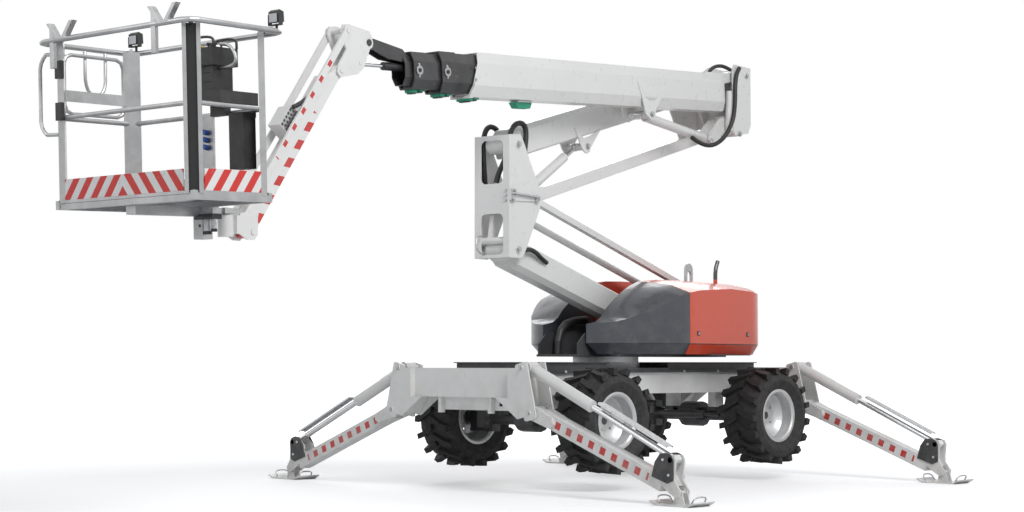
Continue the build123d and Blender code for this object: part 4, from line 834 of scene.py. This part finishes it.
given = bolt_node("NodeGroupInput")
washer_radius = bolt_node("ShaderNodeMath", {"operation": "MULTIPLY"})
bolt_tree.links.new(given.outputs["Head radius"], washer_radius.inputs[0])
washer_radius.inputs[1].default_value = 1.35
washer_height = bolt_node("ShaderNodeMath", {"operation": "MULTIPLY"})
bolt_tree.links.new(given.outputs["Head height"], washer_height.inputs[0])
washer_height.inputs[1].default_value = 0.6
head = bolt_node("GeometryNodeMeshCylinder", Vertices=6, Radius=given.outputs["Head radius"])
bolt_tree.links.new(given.outputs["Head height"], head.inputs["Depth"])
washer = bolt_node("GeometryNodeMeshCylinder", Vertices=16, Radius=washer_radius.outputs[0])
bolt_tree.links.new(washer_height.outputs[0], washer.inputs["Depth"])
raised = bolt_node("GeometryNodeTransform")
lift = bolt_node("ShaderNodeCombineXYZ")
bolt_tree.links.new(given.outputs["Head height"], lift.inputs["Z"])
bolt_tree.links.new(head.outputs["Mesh"], raised.inputs["Geometry"])
bolt_tree.links.new(lift.outputs[0], raised.inputs["Translation"])
both = bolt_node("GeometryNodeJoinGeometry")
bolt_tree.links.new(raised.outputs[0], both.inputs[0])
bolt_tree.links.new(washer.outputs["Mesh"], both.inputs[0])
facing = bolt_node("GeometryNodeInputNamedAttribute", {"data_type": "FLOAT_VECTOR"}, Name="facing")
turned = bolt_node("FunctionNodeAlignRotationToVector", {"axis": "Z"}, Vector=facing.outputs[0])
placed = bolt_node("GeometryNodeInstanceOnPoints")
bolt_tree.links.new(given.outputs["Geometry"], placed.inputs["Points"])
bolt_tree.links.new(both.outputs[0], placed.inputs["Instance"])
bolt_tree.links.new(turned.outputs[0], placed.inputs["Rotation"])
real = bolt_node("GeometryNodeRealizeInstances", Geometry=placed.outputs[0])
dressed = bolt_node("GeometryNodeSetMaterial", Geometry=real.outputs[0], Material=given.outputs["Finish"])
bolt_output = bolt_node("NodeGroupOutput")
bolt_tree.links.new(dressed.outputs[0], bolt_output.inputs[0])
print("bolt tree", len(bolt_tree.nodes), "nodes")

# %% Bolts on a body


def bolts(name, body, spots, radius, height, finish):
    """Bolt heads on one body; each spot is a point and the way its head faces."""
    seeds = bpy.data.meshes.new(name + "_seeds")
    seeds.from_pydata([tuple(place) for place, way in spots], [], [])
    facing_data = seeds.attributes.new("facing", "FLOAT_VECTOR", "POINT")
    for i, (place, way) in enumerate(spots):
        facing_data.data[i].vector = way
    carrier = bpy.data.objects.new(name + "_seeds", seeds)
    bpy.context.scene.collection.objects.link(carrier)
    grown = carrier.modifiers.new("bolts", "NODES")
    grown.node_group = bolt_tree
    grown[bolt_inputs["Head radius"]] = radius
    grown[bolt_inputs["Head height"]] = height
    grown[bolt_inputs["Finish"]] = finish
    bpy.context.view_layer.update()
    data = bpy.data.meshes.new_from_object(carrier.evaluated_get(bpy.context.evaluated_depsgraph_get()))
    data.materials.clear()
    data.materials.append(finish)
    bpy.data.objects.remove(carrier)
    made = bpy.data.objects.new(name, data)
    bpy.context.scene.collection.objects.link(made)
    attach(made, body)
    return made


leftward, rightward = across, -across
pins_on_arms = []
for u, w, z in ((1.588, 0.199, 2.927), (1.591, 0.199, 2.035), (1.321, 0.199, 2.481)):
    pins_on_arms += [(spot(u, w, z), leftward), (spot(u, -w, z), rightward)]
bolts("knuckle_pins", "knuckle", pins_on_arms, 0.021, 0.012, zinc)
bolts("turret_pins", "turret", [(spot(-1.381, 0.230, 1.228), leftward), (spot(-1.651, 0.230, 1.674), leftward)],
      0.021, 0.012, zinc)
end_frame_spots = [(spot(-1.610, 0.502, 3.310), leftward), (spot(-1.750, 0.502, 3.900), leftward),
                   (spot(-1.343, -0.145, 3.756), rightward)]
bolts("end_frame_pins", "end_frame", end_frame_spots, 0.021, 0.010, zinc)
bolts("lift_eye_pins", "upper_arm", [(spot(0.447, 0.122, 3.022), leftward)], 0.020, 0.010, zinc)
bolts("boom_lug_pins", "boom_outer", [(spot(-0.072, boom_w + 0.135, 3.341), leftward)], 0.020, 0.010, zinc)
corner_names = (("front_left", 1.888, 1), ("front_right", 1.888, -1), ("rear_left", -1.834, 1),
                ("rear_right", -1.834, -1))
cheek_bolts = []
for corner, leg_x, hand in corner_names:
    for y, z in ((0.746, 1.039), (0.836, 0.674)):
        for reach in (0.127, -0.127) if leg_x > 0 else (0.127,):
            way = Vector((1 if reach > 0 else -1, 0, 0))
            cheek_bolts.append((Vector((chassis_x + leg_x + reach, hand * y, z)), way))
bolts("outrigger_pins", "chassis", cheek_bolts, 0.016, 0.007, zinc)
print("pins done")

# %% Bolts along the covers and the boom
cover_bolts = []
for x in (-1.45, -0.95, -0.45, 0.65, 1.15, 1.60):
    for hand in (1, -1):
        cover_bolts.append((Vector((chassis_x + x, hand * 0.452, 1.000)), Vector((0, hand, 0))))
bolts("chassis_cover_bolts", "chassis", cover_bolts, 0.010, 0.005, zinc)
for section_name, mouth, half in (("boom_outer", 2.52, 0.125), ("boom_middle", 2.865, 0.108),
                                  ("boom_second", 3.19, 0.093)):
    pads = [(on_boom(mouth, t, half), leftward) for t in (-0.045, 0.045)]
    bolts(section_name + "_bolts", section_name, pads, 0.008, 0.004, zinc)
print("small bolts done")

# %% [markdown]
# ## Hoses
# Thick black hoses carry oil and current from one arm to the next. They are stiff, so each bends in one wide
# sweep and never kinks. A NURBS curve through a few points bends the same way, with a round bevel for its skin.

# %% Hose


def hose(name, body, points, diameter, finish=hose_rubber):
    """Stiff hose along a smooth curve through the given points, carried by one body."""
    data = bpy.data.curves.new(name, "CURVE")
    data.dimensions = "3D"
    spline = data.splines.new("NURBS")
    spline.points.add(len(points) - 1)
    for point, place in zip(spline.points, points):
        point.co = (*place, 1)
    spline.order_u = 3
    spline.use_endpoint_u = True
    spline.resolution_u = 8
    made = bpy.data.objects.new(name, data)
    bpy.context.scene.collection.objects.link(made)
    line = bpy.data.meshes.new_from_object(made)
    data.bevel_depth = diameter / 2
    data.bevel_resolution = 3
    data.use_fill_caps = True
    data.materials.append(finish)
    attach(made, body)
    tuple(points[0])
    return made


hose("knuckle_hose_near", "knuckle", [
     spot(1.672, 0.020, 2.600), spot(1.668, 0.040, 2.680), spot(1.655, 0.100, 2.790),
     spot(1.650, 0.138, 2.900), spot(1.635, 0.138, 3.020), spot(1.560, 0.138, 3.110), spot(1.450, 0.142, 3.125),
     spot(1.420, 0.150, 3.060), spot(1.440, 0.160, 2.960), spot(1.460, 0.160, 2.860)], 0.046)
hose("knuckle_hose_far", "knuckle", [
     spot(1.600, -0.152, 2.590), spot(1.630, -0.142, 2.740), spot(1.650, -0.138, 2.900),
     spot(1.640, -0.138, 3.010), spot(1.600, -0.138, 3.085), spot(1.530, -0.138, 3.110),
     spot(1.450, -0.130, 3.080),
     spot(1.400, -0.118, 3.000)], 0.046)
hose("lower_arm_hose", "knuckle", [
     spot(1.560, 0.145, 1.985), spot(1.480, 0.146, 2.020), spot(1.380, 0.146, 2.050),
     spot(1.280, 0.144, 2.030), spot(1.180, 0.132, 1.980), spot(1.080, 0.118, 1.945)], 0.040)
hose("end_frame_hose", "end_frame", [
     spot(-1.600, 0.505, 3.955), spot(-1.530, 0.512, 3.900), spot(-1.500, 0.515, 3.780),
     spot(-1.495, 0.515, 3.600), spot(-1.470, 0.512, 3.450), spot(-1.380, 0.505, 3.310),
     spot(-1.260, 0.480, 3.195),
     spot(-1.110, 0.450, 3.145), spot(-0.980, 0.410, 3.170), spot(-0.900, 0.385, 3.215)], 0.042)
hose("boom_end_hose", "end_frame", [
     spot(-1.520, 0.455, 3.930), spot(-1.440, 0.430, 3.962), spot(-1.340, 0.405, 3.955),
     spot(-1.260, 0.390, 3.920), spot(-1.230, 0.385, 3.885)], 0.036)

# %% Hose at the jib


def by_jib(run, side, w):
    """Point run down the jib from its top pin, side to its outer side."""
    return spot(4.041 + run * cos(jib_angle) - side * sin(jib_angle), boom_w + w,
                3.218 + run * sin(jib_angle) + side * cos(jib_angle))


hose("jib_hose", "jib", [by_jib(0.100, 0.110, 0.066), by_jib(0.220, 0.125, 0.074), by_jib(0.360, 0.135, 0.076),
     by_jib(0.480, 0.170, 0.074), by_jib(0.560, 0.215, 0.066)], 0.034)
print("hoses done")

# %% [markdown]
# ## The telescope's mouth
# Each section of the boom slides on plastic pads. Round adjusters press the side pads from outside, and green
# blocks show below the mouth. A green rest under the outer section is where the arms park.

# %% Adjusters and pads
for section_name, mouth, half in (("boom_middle", 2.865, 0.108), ("boom_second", 3.19, 0.093)):
    face = Stock()
    for radius, near, far, finish in ((0.038, 0.0, 0.008, 0), (0.016, 0.008, 0.013, 1)):
        face.skin([[on_boom(mouth + radius * cos(tau * k / 28), radius * sin(tau * k / 28), half + depth)
                    for k in range(28)] for depth in (near, far)], finish)
        face.skin([[on_boom(mouth + radius * cos(tau * k / 28), radius * sin(tau * k / 28), -half - depth)
                    for k in range(28)] for depth in (near, far)], finish)
    face.make(section_name + "_adjusters", section_name, [alloy, black_plastic])
telescope_mouths = (("boom_outer", 2.56, 0.180, 0.060), ("boom_middle", 2.90, 0.1575, 0.050),
                    ("boom_second", 3.22, 0.1375, 0.040))
for section_name, mouth, drop, wide in telescope_mouths:
    pads = Stock()
    for start, tall in ((0.0, 0.030), (-0.085, 0.018)):
        end = mouth + start
        pads.block(on_boom, (end - 0.060, end), (-drop - tall, -drop - 0.004), (-wide, wide), 0)
        pads.block(on_boom, (end - 0.052, end - 0.008), (-drop - tall - 0.010, -drop - tall),
                   (-wide * 0.7, wide * 0.7), 1)
    pads.make(section_name + "_pads", section_name, [green_pad, black_paint], 0.002)
rest = Stock()
rest.plate([(1.66, -0.195), (1.90, -0.195), (1.86, -0.245), (1.69, -0.245)], on_boom, -0.035, 0.035, 0)
rest.block(on_boom, (1.68, 1.86), (-0.196, -0.181), (-0.045, 0.045), 1)
rest.make("boom_rest", "boom_outer", [green_pad, white_paint], 0.003)
print("telescope mouth done")

# %% [markdown]
# ## Basket fittings
# Work lamps stand on the rail, V-shaped brackets hold long material, and a control console faces the basket's
# rear. They are what a user touches, so they get real depth: lenses behind bezels, levers, sockets and handles.

# %% Work lamps


def lamp(name, a, b):
    """Work lamp on a short stalk on the basket's rail, looking down and forwards."""
    made = Stock()
    top = 1.105
    made.bar([in_basket(a, b, top - 0.010), in_basket(a, b, top + 0.040)], 0.009, 0)
    made.block(in_basket, (a - 0.006, a + 0.030), (b - 0.052, b - 0.046), (top + 0.030, top + 0.100), 0)
    made.block(in_basket, (a - 0.006, a + 0.030), (b + 0.046, b + 0.052), (top + 0.030, top + 0.100), 0)
    made.block(in_basket, (a - 0.006, a + 0.030), (b - 0.052, b + 0.052), (top + 0.026, top + 0.034), 0)
    body = [(-0.030, -0.034), (0.030, -0.044), (0.034, 0.030), (0.012, 0.046), (-0.026, 0.034)]
    made.skin([[in_basket(a + x, b + side, top + 0.085 + z) for x, z in body] for side in (-0.042, 0.042)], 0)
    glass = [(-0.034, -0.032), (0.034, -0.032), (0.034, 0.026), (-0.034, 0.026)]
    made.skin([[in_basket(a + 0.033 + out, b + side, top + 0.078 + tall) for side, tall in glass]
               for out in (0.0, 0.004)], 1)
    return made.make(name, "basket", [black_plastic, lamp_lens], 0.003)


lamp("lamp_right", -basket_half_depth - 0.050, -basket_half_width - 0.010)
lamp("lamp_left", -basket_half_depth - 0.050, basket_half_width + 0.010)

# %% Brackets on the front rail
brackets = Stock()
rail_a = basket_half_depth + 0.060
for b in (-0.49, 0.50):
    for lean in (-1, 1):
        brackets.skin([[in_basket(rail_a + a, b + lean * 0.115 + edge, 1.200) for a, edge in
                        ((-0.022, -0.018), (0.022, -0.018), (0.022, 0.018), (-0.022, 0.018))],
                       [in_basket(rail_a + a, b + lean * 0.035 + edge, 1.098) for a, edge in
                        ((-0.022, -0.018), (0.022, -0.018), (0.022, 0.018), (-0.022, 0.018))]], 0)
    brackets.block(in_basket, (rail_a - 0.022, rail_a + 0.022), (b - 0.060, b + 0.060), (1.088, 1.102), 0)
    brackets.block(in_basket, (rail_a - 0.014, rail_a + 0.014), (b - 0.110, b - 0.070), (0.900, 1.180), 0)
brackets.make("rail_brackets", "basket", [alloy], 0.002)
print("lamps and brackets done")

# %% Console
console = Stock()
for b in (0.215, 0.275, 0.335):
    console.bar([in_basket(-0.235, b, 1.000), in_basket(-0.235, b + 0.004, 1.035)], 0.007, 0)
    console.bar([in_basket(-0.235, b + 0.004, 1.032), in_basket(-0.235, b + 0.005, 1.052)], 0.015, 1)
console.bar([in_basket(-0.150, 0.180, 1.000), in_basket(-0.150, 0.180, 1.020)], 0.022, 2, 20)
console.bar([in_basket(-0.150, 0.240, 1.000), in_basket(-0.150, 0.240, 1.016)], 0.016, 3, 20)
console.block(in_basket, (-0.310, -0.200), (0.160, 0.195), (1.000, 1.006), 4)
for a, top in ((-basket_half_depth + 0.030, 1.075), (-basket_half_depth + 0.240, 1.070)):
    guard = [in_basket(a, 0.150, 1.000), in_basket(a, 0.150, top), in_basket(a, 0.390, top),
             in_basket(a, 0.390, 1.000)]
    console.bar(bent(guard), 0.009, 0)
handle = [in_basket(-0.180, 0.375, 0.860), in_basket(-0.180, 0.520, 0.870), in_basket(-0.180, 0.530, 0.930),
          in_basket(-0.180, 0.470, 1.010), in_basket(-0.180, 0.385, 1.020)]
console.bar(bent(handle), 0.012, 5)
for h in (0.775, 0.835):
    console.block(in_basket, (-0.125, -0.118), (0.200, 0.340), (h - 0.002, h + 0.002), 0)
console.make("console_fittings", "basket",
             [black_plastic, black_plastic, red_plastic, yellow_plastic, grey_plastic, alloy], 0.0015)

# %% Gate, sockets and hinges
fittings = Stock()
for h in (0.36, 0.41, 0.46):
    fittings.bar([in_basket(-0.300, 0.120, h), in_basket(-0.262, 0.120, h + 0.006)], 0.018, 1, 20)
fittings.block(in_basket, (-0.318, -0.300), (0.070, 0.175), (0.160, 0.575), 0)
for h in (0.62, 0.90):
    fittings.block(in_basket, (basket_half_depth - 0.020, basket_half_depth + 0.012),
                   (-basket_half_width + 0.045, -basket_half_width + 0.105), (h - 0.060, h + 0.060), 2)
gate_b = -basket_half_width - 0.010
gate_line = [in_basket(-0.120, gate_b, 1.060), in_basket(-0.120, gate_b, 0.760), in_basket(0.060, gate_b, 0.760),
             in_basket(0.060, gate_b, 1.060)]
fittings.bar(bent(gate_line), 0.012, 3)
fittings.make("basket_fittings", "basket", [alloy, blue_plastic, black_plastic, alloy], 0.002)
rotator = Stock()
for b, low, high, radius in ((0.100, -0.200, -0.080, 0.026), (0.165, -0.185, -0.060, 0.018),
                             (0.040, -0.150, -0.050, 0.014)):
    rotator.bar([in_basket(-0.300, b, low), in_basket(-0.300, b, high)], radius, 0, 18)
    rotator.bar([in_basket(-0.300, b, low - 0.020), in_basket(-0.300, b, low)], radius * 1.3, 1, 6)
rotator.block(in_basket, (-0.345, -0.255), (0.020, 0.195), (-0.120, -0.085), 1)
rotator.block(in_basket, (-0.330, -0.270), (0.030, 0.185), (-0.085, -0.037), 0)
rotator.make("rotator_valves", "basket", [zinc, black_paint], 0.002)
print("basket fittings done")

# %% [markdown]
# ## Outriggers and knuckle
# A folded strip guards each chromed rod, black ears take the cylinder's upper pin at the leg's foot, and a wire
# loop on each pad lets a person lift it.

# %% Rod guards, ears and pad handles
for corner, leg_x, hand in corner_names:
    def over_side(y, z, x, leg_x=leg_x, hand=hand):
        """Point y out from the machine's middle, z up and x along it, at this leg."""
        return Vector((chassis_x + leg_x + x, hand * y, z))

    ears = Stock()
    for near, far in ((0.060, 0.068), (-0.068, -0.060)):
        ears.plate([(2.085, 0.215), (2.120, 0.330), (2.170, 0.392), (2.230, 0.398), (2.275, 0.385),
                    (2.300, 0.345), (2.300, 0.190), (2.240, 0.165)], over_side, near, far, 0)
        for y, z in ((2.200, 0.345), (2.255, 0.230)):
            ear_face, head_top = (near, near + 0.014) if near > 0 else (far, far - 0.014)
            ears.bar([over_side(y, z, ear_face), over_side(y, z, head_top)], 0.012, 1, 6)
    ears.make(f"leg_ears_{corner}", f"leg_{corner}", [black_paint, zinc], 0.002)
    handles = Stock()
    for end in (1, -1):
        y0 = 2.329 + end * 0.150
        handles.bar(bent([over_side(y0, 0.020, 0.075), over_side(y0 + end * 0.035, 0.075, 0.075),
                          over_side(y0 + end * 0.035, 0.075, -0.075), over_side(y0, 0.020, -0.075)]), 0.006, 0)
    handles.make(f"pad_handles_{corner}", f"leg_{corner}", [zinc])
    rod_line = Vector((0, hand * (2.270 - 0.746), 0.345 - 1.039)).normalized()
    rod_up = Vector((0, hand * 0.694, 1.524)).normalized()
    eye_place = Vector((chassis_x + leg_x, hand * 2.270, 0.345))
    strip = Stock()
    folded = [(-0.034, 0.074), (0.034, 0.074), (0.040, 0.056), (0.036, 0.056), (0.030, 0.069),
              (-0.030, 0.069), (-0.036, 0.056), (-0.040, 0.056)]
    strip.skin([[eye_place - rod_line * run + rod_up * rise + Vector((x, 0, 0)) for x, rise in folded]
                for run in (0.085, 0.860)], 0)
    strip.make(f"rod_guard_{corner}", f"rod_{corner}", [zinc], 0.0015)
print("outriggers done")

# %% Knuckle bracket and wire guard
bracket = Stock()


def on_flank(u, z, out):
    return spot(u, 0.199 + out, z)


bracket.plate([(1.700, 2.430), (1.700, 2.540), (1.640, 2.538), (1.640, 2.432)], on_flank, 0.0, 0.006, 0)
bracket.plate([(1.690, 2.512), (1.330, 2.500), (1.330, 2.484), (1.690, 2.496)], on_flank, 0.0, 0.030, 0)
bracket.plate([(1.360, 2.505), (1.320, 2.505), (1.320, 2.450), (1.360, 2.450)], on_flank, 0.0, 0.018, 0)
bracket.bar(bent([spot(1.712, -0.100, 2.150), spot(1.790, -0.100, 2.140), spot(1.800, -0.090, 2.020),
                  spot(1.712, -0.080, 1.990)]), 0.007, 0)
bracket.bar([spot(1.668, -0.110, 2.110), spot(1.668, 0.110, 2.110)], 0.026, 1, 20)
bracket.make("knuckle_bracket", "knuckle", [zinc, white_paint], 0.0015)
bracket_spots = [(spot(1.712, 0.150, z), fore) for z in (2.445, 2.485, 2.525)]
bracket_spots += [(spot(u, 0.212, z), leftward) for u, z in ((1.680, 2.450), (1.655, 2.525), (1.345, 2.495))]
bolts("knuckle_bracket_bolts", "knuckle", bracket_spots, 0.010, 0.006, zinc)
print("knuckle done")

# %% [markdown]
# ## Hood latches and the jib's valve cover
# Two square black latches hold each half of the hood. On the jib a perforated alloy cover lets the valves
# breathe: its holes are dark discs set in a grid, because the plate behind them is in shadow.

# %% Latches


def on_hood(u, z, w):
    return spot(u, w, z)


latches = Stock()
for u in (-0.315, -1.205):
    for hand in (1, -1):
        near, far = (0.798, 0.806) if hand > 0 else (-0.806, -0.798)
        latches.block(on_hood, (u - 0.020, u + 0.020), (1.324, 1.364), (near, far), 0)
        near, far = (0.806, 0.809) if hand > 0 else (-0.809, -0.806)
        latches.block(on_hood, (u - 0.013, u + 0.013), (1.331, 1.357), (near, far), 1)
latches.make("hood_latches", "turret", [black_plastic, grey_plastic], 0.002)

# %% Perforated cover
cover = Stock()
for row, side in enumerate((0.120, 0.155, 0.190, 0.220)):
    for column in range(5):
        run = 0.575 + 0.034 * column + 0.012 * (row % 2)
        cover.skin([[by_jib(run + 0.0105 * cos(tau * k / 12), side + 0.0105 * sin(tau * k / 12), depth)
                     for k in range(12)] for depth in (0.0600, 0.0612)], 0)
cover.skin([[by_jib(x, y, depth) for x, y in ((0.530, 0.094), (0.735, 0.094), (0.735, 0.230), (0.565, 0.230))]
            for depth in (0.0602, 0.0606)], 1)
cover.make("valve_cover_holes", "jib", [black_paint, alloy])
print("latches and cover done")
